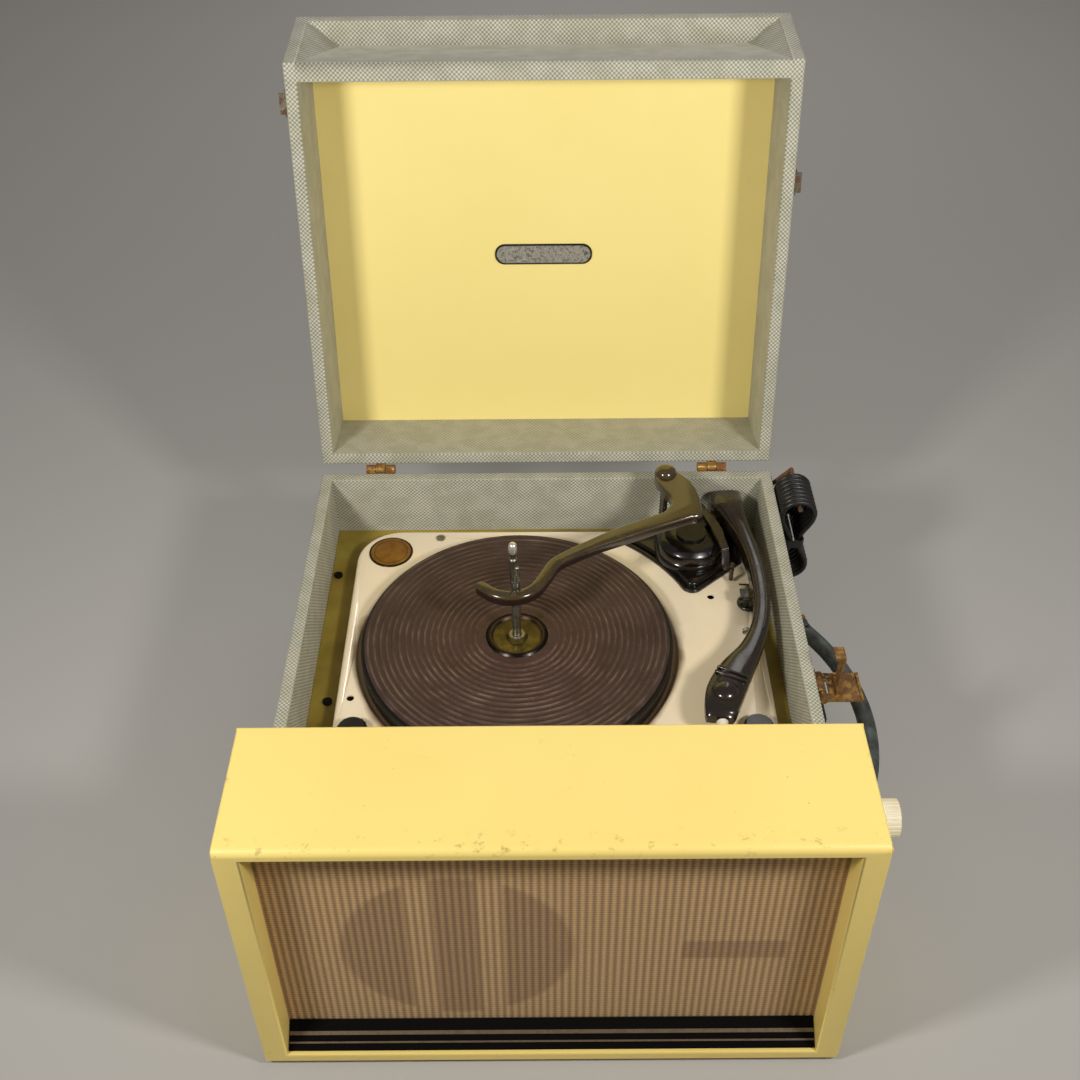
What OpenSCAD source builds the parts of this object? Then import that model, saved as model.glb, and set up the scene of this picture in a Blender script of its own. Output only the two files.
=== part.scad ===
// Portable record player: cloth-covered case with a lift-up lid, an autochanger deck
// and a taller housing in front for the loudspeaker and amplifier.
// Origin: middle of the plane that the feet stand on. +X right, +Y to the rear, +Z up.
// The lid is drawn open, as it stands in use.

/* [Case] */
// Gap between the unit plate and the case's left wall
gap_left = 23; // [20:1:30]
// Gap between the unit plate and the case's right wall
gap_right = 13; // [11:1:20]
// Gap between the unit plate and the case's rear wall
gap_rear = 16; // [12:1:24]
// Gap between the unit plate and the housing behind the loudspeaker
gap_front = 18.7; // [16:0.1:26]
// Height of the case rim above the case underside
case_h = 152; // [148:1:160]
// Thickness of the case, housing and lid walls
wall = 10; // [9:0.5:12]
// Height of the rubber feet
foot_h = 5; // [4:0.5:10]
// Radius of the rubber feet
foot_r = 10; // [7:0.5:12]
// Thickness of the base board
base_t = 8; // [6:0.5:10]
// Height of the motor board's top above the case underside
board_h = 93; // [90:1:96]
// Thickness of the motor board
board_t = 9; // [7:0.5:11]
// Width of the battens under the motor board
batten_w = 13; // [10:1:15]

/* [Front housing] */
// Height of the housing top above the case underside
housing_h = 236; // [234:1:246]
// Depth of the flat housing top
housing_top_d = 96; // [90:1:100]
// Depth of the housing at the height of the case rim
housing_rim_d = 118.5; // [116:0.5:122]
// How far the housing's foot stands forward of its top edge
front_lean = 7.7; // [4:0.1:10]
// Depth of the picture frame round the grille
frame_depth = 20; // [16:1:24]
// Width of the frame's side strips
frame_side = 16.5; // [14:0.5:20]
// Width of the frame's top strip
frame_top = 8; // [6:0.5:10]
// Width of the frame's bottom strip
frame_bottom = 8; // [6:0.5:12]
// Thickness of the housing's top and sloping rear panels
panel_t = 8; // [6:0.5:10]
// Radius of the housing's top front edge
housing_edge_r = 5; // [3:0.5:8]
// Thickness of the grille cloth with its backing card
grille_t = 1.6; // [1:0.1:2.5]
// Thickness of the baffle board
baffle_t = 8; // [6:0.5:10]
// Rise of the black plinth from front to back
plinth_rise = 12; // [8:1:14]

/* [Loudspeaker] */
// Radius of the loudspeaker cut-out in the baffle
speaker_hole_r = 77; // [65:1:78]
// Distance of the loudspeaker's centre to the left of the middle
speaker_off = 62; // [55:1:75]
// Height of the loudspeaker's centre above the case underside
speaker_h = 105; // [95:1:115]
// Radius of the loudspeaker's rim
speaker_rim_r = 84; // [80:1:86]
// Depth of the loudspeaker's basket
speaker_d = 42; // [36:1:48]

/* [Lid] */
// Angle the lid opens through
lid_angle = 101.65; // [95:0.05:110]
// Distance of the hinge axis behind the rear face
hinge_out = 5; // [4.8:0.1:7]
// Thickness of the lid's top panel
lid_top_t = 8; // [6:0.5:9]
// Thickness of the lid's front wall
lid_front_t = 14.4; // [12:0.1:16]
// Thickness of the lid's lining board
liner_t = 3; // [2:0.5:5]
// Width of each hinge
hinge_w = 26; // [20:1:40]
// Distance of each hinge from the case side
hinge_in = 52; // [40:1:80]

/* [Deck] */
// Width of the strip beside the turntable that carries the arms
arm_strip = 68; // [66:1:76]
// Height of the unit plate's top above the motor board
plate_rise = 12; // [10:0.5:14]
// Radius of the unit plate's corners
plate_corner_r = 38; // [30:1:42]
// Thickness of the unit plate's steel
sheet_t = 1.2; // [0.9:0.1:1.5]
// Radius of the turntable
platter_r = 126.5; // [122:0.5:128]
// How far the rubber mat stops inside the turntable's edge
mat_in = 3; // [1:0.5:5]
// Thickness of the rubber mat
mat_t = 4; // [3:0.5:5]
// Height of the turntable's top above the unit plate
platter_rise = 11; // [10:0.5:13]
// Height of the spindle above the mat
spindle_h = 98; // [80:1:98]
// Radius of the spindle
spindle_r = 3.5; // [3.3:0.05:3.6]
// Radius of the main bearing tube
bearing_r = 7; // [6:0.5:9]
// Radius of the idler wheel
idler_r = 24; // [20:0.5:26]
// Number of turns the motor makes for one of the turntable
motor_turns = 42; // [40:0.5:44]

/* [Arms] */
// Radius of the round turret under the tonearm
turret_r = 29.5; // [27:0.5:30]
// Height of the turret above the unit plate
turret_h = 24; // [22:0.5:26]
// Height of the tonearm's lower edge above the unit plate
arm_lift = 17.5; // [17:0.1:20]
// Wall thickness of the tonearm's moulding
arm_wall = 2.2; // [1.8:0.1:2.6]
// Radius of the steadying arm's post
post_r = 3.5; // [3:0.1:4]
// Height of the steadying arm's lower face above the unit plate
steady_h = 61; // [56:1:66]
// Thickness of the steadying arm
steady_t = 9; // [7:0.5:11]

/* [Controls and carrying] */
// Radius of the volume knob
volume_r = 13.5; // [11:0.5:15]
// Height the volume knob stands off the housing side
volume_proud = 16; // [12:0.5:18]
// Radius of the two deck knobs
deck_knob_r = 11.5; // [9:0.5:12.5]
// Height of the two deck knobs
deck_knob_h = 9; // [7:0.5:11]
// Half the distance between the handle's end pins
handle_half = 100; // [90:1:105]
// How far the handle bows away from its pins
handle_bow = 33; // [28:1:40]
// Radius of the handle's grip
grip_r = 6.5; // [5:0.5:8]
// Height of the handle's pins above the case underside
handle_h = 112; // [105:1:116]
// Width of the draw catches
catch_w = 28; // [24:1:32]
// Length of the draw catch levers
lever_l = 30; // [26:1:32]
// Radius of the mains cord
cord_r = 2.25; // [2:0.05:2.5]

/* [Hidden] */

$fn = 64;
// Gap that lets glued or screwed panels slide together
fit = 0.3;
// Radial clearance of a running shaft
run = 0.05;
// Gap of a rubber wheel from what it drives
tread_gap = 0.15;
// Gap under what only rests on its support
rest_gap = 0.3;

// The unit plate is as large as the turntable's well, the arms' strip and narrow borders
well_gap = 7.5;
well_r = platter_r + well_gap;
border_left = 8;
border_rear = 11;
border_front = 3;
plate_w = border_left + 2 * well_r + arm_strip;
plate_d = border_front + 2 * well_r + border_rear;

// The case goes round the plate, and the housing's sloping back stands in front of it
parting_slope = (housing_rim_d - housing_top_d) / (housing_h - case_h);
housing_deck_d = housing_rim_d + (case_h - board_h) * parting_slope;
case_w = plate_w + gap_left + gap_right + 2 * wall;
case_d = housing_deck_d + gap_front + plate_d + gap_rear + wall;
front = -case_d / 2;
back = case_d / 2;
side = case_w / 2;
inner_w = case_w - 2 * wall;
base_z = foot_h;
rim_z = base_z + case_h;
top_z = base_z + housing_h;
deck_z = base_z + board_h;
under_deck_z = deck_z - board_t;

// Housing outline: leaning front face and sloping parting line
parting_gap = 1;
function face_y(z) = front - front_lean * (top_z - z) / housing_h;
function parting_y(z) = front + housing_rim_d + (rim_z - z) * parting_slope;

// Lid in its closed place
lid_gap = 0.6;
lid_z = rim_z + lid_gap;
lid_front = parting_y(rim_z) + parting_gap;
lid_inner_z = top_z - lid_top_t;
liner_z = lid_inner_z - liner_t;
hinge_x = side - hinge_in;
hinge_y = back + hinge_out;
hinge_z = rim_z + lid_gap / 2;
knuckle_r = 4;
hinge_pin_r = 1.5;
leaf_t = 1.2;
leaf_h = 24;

// Deck levels and places
plate_x = (gap_left - gap_right) / 2;
plate_left = plate_x - plate_w / 2;
plate_right = plate_x + plate_w / 2;
plate_rear = back - wall - gap_rear;
plate_front = plate_rear - plate_d;
plate_z = deck_z + plate_rise;
skirt = 9;
ledge = 16;
well_d = 4;
platter_x = plate_left + border_left + well_r;
platter_y = plate_rear - border_rear - well_r;
platter_z = plate_z + platter_rise;
mat_z = platter_z + mat_t;
mat_r = platter_r - mat_in;
platter_t = 1.5;
rim_t = 3;
rim_drop = 12.5;
hub_r = 12;
hub_plate_r = 25;
floor_z = plate_z - well_d;

// Idler drive
rim_in_r = platter_r - rim_t;
idler_d = rim_in_r - tread_gap - idler_r;
idler_angle = 160;
pulley_r = rim_in_r / motor_turns;
motor_d = idler_r + tread_gap + pulley_r;
motor_angle = -60;
idler_x = platter_x + idler_d * cos(idler_angle);
idler_y = platter_y + idler_d * sin(idler_angle);
motor_x = idler_x + motor_d * cos(motor_angle);
motor_y = idler_y + motor_d * sin(motor_angle);
idler_t = 2.8;
idler_z = floor_z + 6.6;
motor_r = 36;
motor_h = 42;
motor_top_z = floor_z - 14;
cam_x = platter_x + 70;
cam_y = platter_y + 20;
cam_z = floor_z - 14;
cam_stud_r = 3;
shaft_r = 2.4;

// Arms, measured from the middle of the turret
turret_x = plate_right - 51.4;
turret_y = plate_rear - 32.5;
turret_z = plate_z + turret_h;
flange_h = 7;
arm_z = plate_z + arm_lift;
lift_y = 33;
lift_z = arm_z + 12.5;
lift_pin_r = 1.5;
post_x = turret_x - 22.6;
post_y = turret_y + 27;
steady_z = plate_z + steady_h;
rest_x = turret_x + 46.4;
rest_y = turret_y - 68;

// Screws through the plate, and two in the board beside it
screw_places = [
    [plate_left + 72, plate_rear - 10], [plate_right - 12.5, plate_rear - 129.5],
    [plate_left + 52, plate_front + 8], [plate_right - 52, plate_front + 8]
];
board_screws = [[plate_left - 17, plate_rear - 45], [plate_left - 9, plate_rear - 192.5]];
screw_r = 1.8;
screw_head_r = 3.8;
screw_l = plate_rise + 7;
knob_shaft_r = 2.5;
knob_in = 17;
speed_x = plate_left + knob_in;
control_x = plate_right - knob_in;
knob_y = plate_front + 46;
spring_in = 8;
spring_r = 6;

// Volume control
volume_y = front + 45;
volume_z = top_z - 31;
bush_r = 4.4;
volume_shaft_r = 3;

// Handle and catches
handle_y = front + 201;
handle_z = base_z + handle_h;
pin_out = 9;
handle_pin_r = 2;
catch_out = 6;
catch_z = rim_z - 14;
catch_pin_r = 1.5;
claw_pin_r = 1.2;
claw_at = 12;
claw_up = 4;
claw_reach = 6.8;
keeper_lip = 5.4;
claw_l = 34;
claw_w = 14;
catch_right_y = front + 214;
catch_left_y = front + 150;
left_fold = 88;

// Mains cord: relief in the rear wall, a hank of loops on the side hook, and a tail to the plug
cord_exit_x = side - 22;
cord_exit_z = base_z + 25;
relief_l = 24;
hook_r = 2;
hook_y = back - 7.5;
hook_z = rim_z + 6;
hook_from_z = rim_z - 10;
hank_x = side + 16.9;
hank_y = hook_y - 9;
hank_fold_r = 14;
hank_run = 62;
hank_waist = 3.4;
hank_pitch = 5.2;
hank_loops = 8;
fold_rings = 6;
run_rings = 6;
hank_z = hook_z + hook_r + rest_gap + cord_r - hank_fold_r - hank_run / 2;
hank_sides = 6;
tube_sides = 8;
lead_route = [for (p = [
    [-22, 37.5, 28], [-21, 47.5, 23], [-17, 56.5, 16], [-10, 63.5, 9], [0, 66.5, 4], [11, 64.5, 2.8],
    [21, 57.5, 2.8], [28, 47.5, 4.5], [32, 36.5, 9.5], [33, 25.5, 18], [32.5, 15.5, 29], [32, 5.5, 42],
    [31.5, -4.5, 56], [31, -12.5, 70]
]) [side + p[0], back + p[1], p[2]]];
tail_route = [for (p = [
    [3, -58.5, 70], [3.2, -59.5, 57], [3.6, -61, 44], [4.4, -63.5, 32], [5.4, -67.5, 21], [6.6, -73.5, 12],
    [8.6, -82.5, 6], [12, -94.5, 3.6], [16.5, -106.5, 4.5], [21, -117.5, 8]
]) [side + p[0], back + p[1], p[2]]];
plug_x = side + 24;
plug_y = back - 132.5;
plug_l = 40;
plug_w = 34;
plug_h = 20;
tie_h = 8;
tie_t = 1;

// Fillet of a corner p1 between p0 and p2, as n + 1 points
function unit2(v) = v / norm(v);
function fillet(p0, p1, p2, r, n) =
    let (
        a = unit2(p0 - p1),
        b = unit2(p2 - p1),
        half = acos(a * b) / 2,
        c = p1 + unit2(a + b) * r / sin(half),
        s = p1 + a * r / tan(half) - c,
        e = p1 + b * r / tan(half) - c,
        t0 = atan2(s[1], s[0]),
        raw = atan2(e[1], e[0]) - t0,
        sweep = raw > 180 ? raw - 360 : raw < -180 ? raw + 360 : raw
    )
    [for (i = [0:n]) c + r * [cos(t0 + sweep * i / n), sin(t0 + sweep * i / n)]];

// Polygon with each corner rounded by its own radius; 0 leaves a corner sharp
function rounded(pts, radii, n = 6) =
    [for (i = [0:len(pts) - 1])
        let (p0 = pts[(i + len(pts) - 1) % len(pts)], p2 = pts[(i + 1) % len(pts)])
        each radii[i] > 0 ? fillet(p0, pts[i], p2, radii[i], n) : [pts[i]]];

function box2(w, d, r) =
    rounded([[-w / 2, -d / 2], [w / 2, -d / 2], [w / 2, d / 2], [-w / 2, d / 2]], [r, r, r, r], 10);

// Catmull-Rom curve through points of any number of values
function curve_at(p, i, t) =
    let (
        a = p[max(i - 1, 0)],
        b = p[i],
        c = p[min(i + 1, len(p) - 1)],
        d = p[min(i + 2, len(p) - 1)]
    )
    0.5 * (2 * b + (c - a) * t + (2 * a - 5 * b + 4 * c - d) * t * t + (3 * b - a - 3 * c + d) * t * t * t);
function curve(p, n) = concat(
    [for (i = [0:len(p) - 2], k = [0:n - 1]) curve_at(p, i, k / n)],
    [p[len(p) - 1]]
);

// Outline of a strip that follows [x, y, width] points
function strip_side(c, s, inset) =
    [for (i = [0:len(c) - 1])
        let (
            d = c[min(i + 1, len(c) - 1)] - c[max(i - 1, 0)],
            n = unit2([-d[1], d[0]])
        )
        [c[i][0], c[i][1]] + s * n * (c[i][2] / 2 - inset)];
function reversed(v) = [for (i = [len(v) - 1:-1:0]) v[i]];
function strip(p, n = 4, inset = 0) =
    let (c = curve(p, n)) concat(strip_side(c, 1, inset), reversed(strip_side(c, -1, inset)));

// Extrudes a [y, z] profile along X, centred
module along_x(w) {
    rotate([90, 0, 90]) translate([0, 0, -w / 2]) linear_extrude(w) children();
}

module at(x, y, z) {
    translate([x, y, z]) children();
}

module x_rod(r, l) {
    rotate([0, 90, 0]) cylinder(r = r, h = l);
}

module y_rod(r, l) {
    rotate([-90, 0, 0]) cylinder(r = r, h = l);
}

// Places the lid's pieces, drawn closed, at their open angle
module opened() {
    translate([0, hinge_y, hinge_z]) rotate([-lid_angle, 0, 0]) translate([0, -hinge_y, -hinge_z]) children();
}

// Side and rear walls, open at the top, cloth covered
module case_carcass() {
    color("#c9c4b2") difference() {
        along_x(case_w) polygon([
            [parting_y(rim_z) + parting_gap / 2, rim_z], [back, rim_z], [back, base_z],
            [parting_y(base_z) + parting_gap / 2, base_z]
        ]);
        at(-inner_w / 2, front - wall, base_z - 1) cube([inner_w, case_d, case_h + 2]);
        at(cord_exit_x, back - wall - 1, cord_exit_z) y_rod(cord_r + 1.5 + run, wall + 2);
    }
}

// Yellow housing: cheeks, top, sloping rear panel and the frame in front
module front_housing() {
    r = housing_edge_r;
    inner_top = top_z - panel_t;
    color("#fce68a") difference() {
        along_x(case_w) polygon(rounded([
            [face_y(base_z), base_z], [front, top_z], [front + housing_top_d, top_z],
            [parting_y(base_z), base_z]
        ], [0, r, 2, 0]));
        along_x(inner_w) polygon([
            [face_y(base_z - 1) + frame_depth, base_z - 1], [face_y(inner_top) + frame_depth, inner_top],
            [parting_y(inner_top) - panel_t, inner_top], [parting_y(under_deck_z) - panel_t, under_deck_z],
            [parting_y(base_z) + 1, under_deck_z], [parting_y(base_z) + 1, base_z - 1]
        ]);
        along_x(case_w - 2 * frame_side) polygon([
            [front - 2 * front_lean, base_z + frame_bottom], [front - 2 * front_lean, top_z - frame_top],
            [front + frame_depth + 1, top_z - frame_top], [front + frame_depth + 1, base_z + frame_bottom]
        ]);
        at(side - wall - 1, volume_y, volume_z) x_rod(bush_r + run, wall + 2);
    }
}

module base_board() {
    y0 = face_y(base_z) + frame_depth + fit;
    color("#b58a55") at(-inner_w / 2 + fit, y0, base_z)
        cube([inner_w - 2 * fit, back - wall - fit - y0, base_t]);
}

module rubber_feet() {
    inset = 30;
    color("#26241f") for (x = [-1, 1], y = [front + inset, back - inset])
        at(x * (side - inset), y, 0) cylinder(r1 = foot_r - 1.5, r2 = foot_r, h = foot_h);
}

// Strips glued round the inside that carry the motor board
module board_battens() {
    y0 = parting_y(under_deck_z) + 6;
    color("#c19a63") {
        for (s = [-1, 1])
            at(s * (inner_w - batten_w) / 2 - batten_w / 2, y0, under_deck_z - batten_w)
                cube([batten_w, back - wall - y0, batten_w]);
        at(-inner_w / 2, back - wall - batten_w, under_deck_z - batten_w) cube([inner_w, batten_w, batten_w]);
    }
}

// Leaning sheet behind the frame, from one depth to another
module leaning_sheet(w, from_d, thick, z0, z1) {
    along_x(w) polygon([
        [face_y(z0) + from_d, z0], [face_y(z1) + from_d, z1],
        [face_y(z1) + from_d + thick, z1], [face_y(z0) + from_d + thick, z0]
    ]);
}

module baffle_board() {
    bar_off = 23;
    bar_w = 17;
    slot_w = 70;
    slot_h = 20;
    slot_x = 121;
    slot_z = 107.5;
    depth = frame_depth + grille_t;
    z = base_z + speaker_h;
    color("#8a6a45") difference() {
        leaning_sheet(inner_w - 2 * fit, depth, baffle_t, base_z + base_t + fit, top_z - panel_t - fit);
        difference() {
            at(-speaker_off, front, z) y_rod(speaker_hole_r, 3 * frame_depth);
            for (x = [-speaker_off - bar_off, -speaker_off + bar_off])
                at(x - bar_w / 2, front, z - speaker_hole_r)
                    cube([bar_w, 3 * frame_depth, 2 * speaker_hole_r]);
        }
        at(slot_x - slot_w / 2, front, slot_z - slot_h / 2) cube([slot_w, 3 * frame_depth, slot_h]);
    }
}

module grille_cloth() {
    color("#a5825a")
        leaning_sheet(inner_w - 2 * fit, frame_depth, grille_t, base_z + base_t + fit, top_z - panel_t - fit);
}

plinth_in = 3;
plinth_lip = 1.5;
plinth_z = base_z + frame_bottom;

// Black wedge along the foot of the grille
module plinth_strip() {
    color("#14130f") along_x(case_w - 2 * frame_side - 2 * fit) polygon([
        [face_y(plinth_z) + plinth_in, plinth_z], [face_y(plinth_z) + plinth_in, plinth_z + plinth_lip],
        [face_y(plinth_z) + frame_depth, plinth_z + plinth_lip + plinth_rise],
        [face_y(plinth_z) + frame_depth, plinth_z]
    ]);
}

// Two bronze lines laid on the plinth's slope
module plinth_trim() {
    run_y = frame_depth - plinth_in;
    slope = atan2(plinth_rise, run_y);
    line_t = 0.5;
    color("#8a7660") at(0, face_y(plinth_z) + plinth_in, plinth_z + plinth_lip) rotate([slope, 0, 0])
        for (line = [[4.5, 1.2], [10, 2.6]])
            at(-(case_w / 2 - frame_side - fit), line[0], 0)
                cube([case_w - 2 * frame_side - 2 * fit, line[1], line_t]);
}

// Turns a shape drawn along +Z to face backwards behind the baffle
module at_speaker() {
    z = base_z + speaker_h;
    lean = atan2(front_lean, housing_h);
    translate([-speaker_off, face_y(z) + frame_depth + grille_t + baffle_t, z])
        rotate([-90 - lean, 0, 0]) children();
}

magnet_r = 30;

// Steel basket with the magnet pot on its back
module speaker_basket() {
    flange_t = 2.5;
    steel = 1.2;
    pot_h = 24;
    pole_r = 11.5;
    color("#6d6f6c") at_speaker() {
        rotate_extrude() polygon([
            [speaker_rim_r, 0], [speaker_rim_r, flange_t], [speaker_hole_r - 2, flange_t],
            [magnet_r + 4, speaker_d], [magnet_r, speaker_d], [magnet_r, speaker_d + pot_h],
            [0, speaker_d + pot_h],
            [0, speaker_d - 11.5], [pole_r, speaker_d - 11.5], [pole_r, speaker_d - steel],
            [magnet_r + 3, speaker_d - steel], [speaker_hole_r - 3.5, flange_t - steel],
            [speaker_hole_r - 3.5, 0]
        ]);
    }
}

module speaker_cone() {
    paper = 0.8;
    edge = speaker_hole_r - 3.5 - fit;
    color("#3a342c") at_speaker() rotate_extrude() polygon([
        [edge, 0], [edge, paper], [edge - 6, paper], [16, speaker_d - 12], [0, speaker_d - 12],
        [0, speaker_d - 12 - paper], [15, speaker_d - 12 - paper], [edge - 7, 0]
    ]);
}

amp_x = 40;
amp_w = 124;
amp_d = 62;
amp_h = 38;
amp_y = front + 46;
amp_z = base_z + base_t;

// Steel chassis with the mains and output transformers on it
module amplifier_chassis() {
    steel = 1.2;
    top = amp_z + amp_h;
    color("#9aa09c") {
        difference() {
            at(amp_x, amp_y, amp_z) cube([amp_w, amp_d, amp_h]);
            at(amp_x + steel, amp_y + steel, amp_z - 1)
                cube([amp_w - 2 * steel, amp_d - 2 * steel, amp_h + 1 - steel]);
        }
        at(amp_x + 86, amp_y + 10, top) cube([34, 42, 40]);
        at(amp_x + 84, amp_y + 18, top + 8) cube([38, 26, 24]);
        at(amp_x + 10, amp_y + 5, top) cube([30, 22, 24]);
    }
}

module amplifier_valves() {
    glass_r = 10;
    glass_h = 42;
    color("#d8dcd8") for (i = [0:2])
        at(amp_x + 18 + i * 26, amp_y + 42, amp_z + amp_h) {
            cylinder(r = glass_r, h = glass_h);
            at(0, 0, glass_h) cylinder(r1 = glass_r, r2 = 3, h = 8);
        }
}

// Switched potentiometer behind the housing's right cheek
module volume_control() {
    body_r = 12;
    body_l = 11;
    color("#77736a") at(side - wall, volume_y, volume_z) difference() {
        union() {
            at(-body_l, 0, 0) x_rod(body_r, body_l);
            x_rod(bush_r, wall + 1);
        }
        at(-body_l + 2, 0, 0) x_rod(volume_shaft_r + run, body_l + wall + 2);
    }
}

module volume_knob() {
    gap = 1.4;
    skirt_l = 4;
    color("#efe6cf") at(side, volume_y, volume_z) {
        difference() {
            union() {
                at(gap, 0, 0) x_rod(volume_r, skirt_l);
                at(gap + skirt_l, 0, 0) x_rod(volume_r - 1.5, volume_proud - skirt_l - gap);
            }
            for (i = [0:23])
                rotate([i * 15, 0, 0]) at(gap + skirt_l + 1, 0, volume_r - 0.9) x_rod(0.9, volume_proud);
        }
        at(-wall - 8, 0, 0) x_rod(volume_shaft_r, wall + 8 + gap + 1);
    }
}

// Plywood board with the opening that the changer hangs through
module motor_board() {
    y0 = parting_y(under_deck_z) + fit;
    y1 = back - wall - fit;
    color("#a59a5e") difference() {
        at(-inner_w / 2 + fit, y0, under_deck_z) cube([inner_w - 2 * fit, y1 - y0, board_t]);
        at(plate_x, (plate_front + plate_rear) / 2, under_deck_z - 1)
            linear_extrude(board_t + 2)
                polygon(box2(plate_w - 2 * ledge, plate_d - 2 * ledge, plate_corner_r - ledge));
        for (p = screw_places)
            at(p[0], p[1], under_deck_z - 1) cylinder(r = screw_r + run, h = board_t + 2);
        at(post_x, post_y, under_deck_z - 1) cylinder(r = post_r + 1.5, h = board_t + 2);
    }
}

// Outline of the unit plate, drawn in by an inset
module plate_outline(inset) {
    translate([plate_x, (plate_front + plate_rear) / 2])
        polygon(box2(plate_w - 2 * inset, plate_d - 2 * inset, plate_corner_r - inset));
}

// Pressed steel plate with a turned-down skirt, a round well for the turntable and the cam gear's stud
module unit_plate() {
    color("#f3dfb5") {
        at(cam_x, cam_y, cam_z - 3) cylinder(r = cam_stud_r, h = floor_z - sheet_t - cam_z + 3.1);
        at(cam_x, cam_y, cam_z - 3) cylinder(r = cam_stud_r + 2, h = 2);
        pressed_plate();
    }
}

module pressed_plate() {
    difference() {
        union() {
            difference() {
                at(0, 0, plate_z - skirt) linear_extrude(skirt) plate_outline(0);
                at(0, 0, plate_z - skirt - 1) linear_extrude(skirt + 1 - sheet_t) plate_outline(sheet_t);
                at(platter_x, platter_y, plate_z - skirt) cylinder(r = well_r - 0.5, h = skirt + 1);
            }
            at(platter_x, platter_y, plate_z) rotate_extrude() polygon([
                [bearing_r + fit, -well_d - sheet_t], [well_r - 4, -well_d - sheet_t],
                [well_r - 1.2, -sheet_t], [well_r, -sheet_t], [well_r, 0],
                [well_r - 2.6, 0], [well_r - 5.2, -well_d], [bearing_r + fit, -well_d]
            ]);
        }
        for (p = screw_places)
            at(p[0], p[1], plate_z - skirt - 1) cylinder(r = screw_r + run, h = skirt + 2);
        at(motor_x, motor_y, floor_z - 4) cylinder(r = 9, h = 6);
        at(post_x, post_y, plate_z - 3) cylinder(r = post_r + 1, h = 4);
        at(turret_x, turret_y, plate_z - 3) cylinder(r = 6, h = 4);
        at(speed_x, knob_y, plate_z - 3) cylinder(r = knob_shaft_r + run, h = 4);
        at(control_x, knob_y, plate_z - 3) cylinder(r = knob_shaft_r + run, h = 4);
        at(plate_right - 38, plate_rear - 87.5, plate_z - 3) cylinder(r = 3, h = 4);
        at(plate_left + 11, plate_front + 83, plate_z - 3) cylinder(r = 3, h = 4);
        at(plate_right - 12, plate_rear - 73.5, plate_z - 3) cube([10, 3, 4]);
    }
}

// Coil springs between board and plate, as sleeves of their outer shape
module suspension_springs() {
    wire = 1.4;
    color("#8e9296") for (x = [-1, 1], y = [plate_front + 70, plate_rear - 70])
        at(plate_x + x * (plate_w / 2 - spring_in), y, deck_z) difference() {
            cylinder(r = spring_r, h = plate_rise - sheet_t);
            at(0, 0, -1) cylinder(r = spring_r - wire, h = plate_rise + 2);
        }
}

module slotted_screw(l) {
    head_h = 1.4;
    difference() {
        cylinder(r = screw_head_r, h = head_h);
        at(-screw_head_r, -0.45, head_h - 0.7) cube([2 * screw_head_r, 0.9, 1]);
    }
    at(0, 0, -l) cylinder(r = screw_r, h = l);
}

module deck_screws() {
    color("#b9b4a6") for (p = screw_places)
        at(p[0], p[1], plate_z) rotate([0, 0, 35 + p[0]]) slotted_screw(screw_l);
    color("#3a342a") for (p = board_screws)
        at(p[0], p[1], deck_z) cylinder(r = screw_head_r, h = 1.6);
}

// Plain round badge, left blank
module badge_disc() {
    disc_r = 19.3;
    color("#9a6a1e") at(plate_left + disc_r + 9.7, plate_rear - disc_r - 8.7, plate_z) {
        cylinder(r = disc_r, h = 0.5);
        cylinder(r = disc_r - 1, h = 1);
    }
}

module drive_motor() {
    color("#7f8285") at(motor_x, motor_y, motor_top_z - motor_h) {
        difference() {
            union() {
                cylinder(r = motor_r, h = motor_h);
                at(0, 0, -8) cylinder(r = 14, h = motor_h + 14);
            }
            at(0, 0, -9) cylinder(r = shaft_r + run, h = motor_h + 30);
        }
        for (a = [40, 160, 280])
            rotate([0, 0, a]) at(motor_r - 7, 0, motor_h - 1) cylinder(r = 3, h = 15 - sheet_t);
    }
}

// Shaft with the four-step pulley: 78, 45, 33 and 16 turns a minute
module motor_rotor() {
    step_h = 3;
    first_z = idler_z - 2 * step_h - 0.1;
    slow = pulley_r / (100 / 3);
    color("#c7a24a") at(motor_x, motor_y, 0) {
        at(0, 0, motor_top_z - motor_h - 6) cylinder(r = shaft_r, h = first_z - motor_top_z + motor_h + 6);
        for (s = [[0, 78], [1, 45], [2, 100 / 3], [3, 50 / 3]])
            at(0, 0, first_z + s[0] * step_h) cylinder(r = slow * s[1], h = step_h);
    }
}

module idler_bracket() {
    axle_r = 2;
    color("#a8a99f") {
        at(idler_x, idler_y, floor_z) {
            cylinder(r = 6, h = 1.5);
            cylinder(r = axle_r, h = idler_z - floor_z + idler_t + 1.6);
            rotate([0, 0, 70]) at(0, -4, 0) cube([26, 8, 1.5]);
            at(0, 0, 1.5) cylinder(r = 3.4, h = idler_z - floor_z - 2.8);
        }
    }
}

module idler_wheel() {
    hub = 5;
    color("#3b3733") at(idler_x, idler_y, idler_z) difference() {
        union() {
            cylinder(r = idler_r, h = idler_t);
            at(0, 0, -1) cylinder(r = hub, h = idler_t + 2);
        }
        at(0, 0, -2) cylinder(r = 2 + run, h = idler_t + 4);
    }
}

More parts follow.
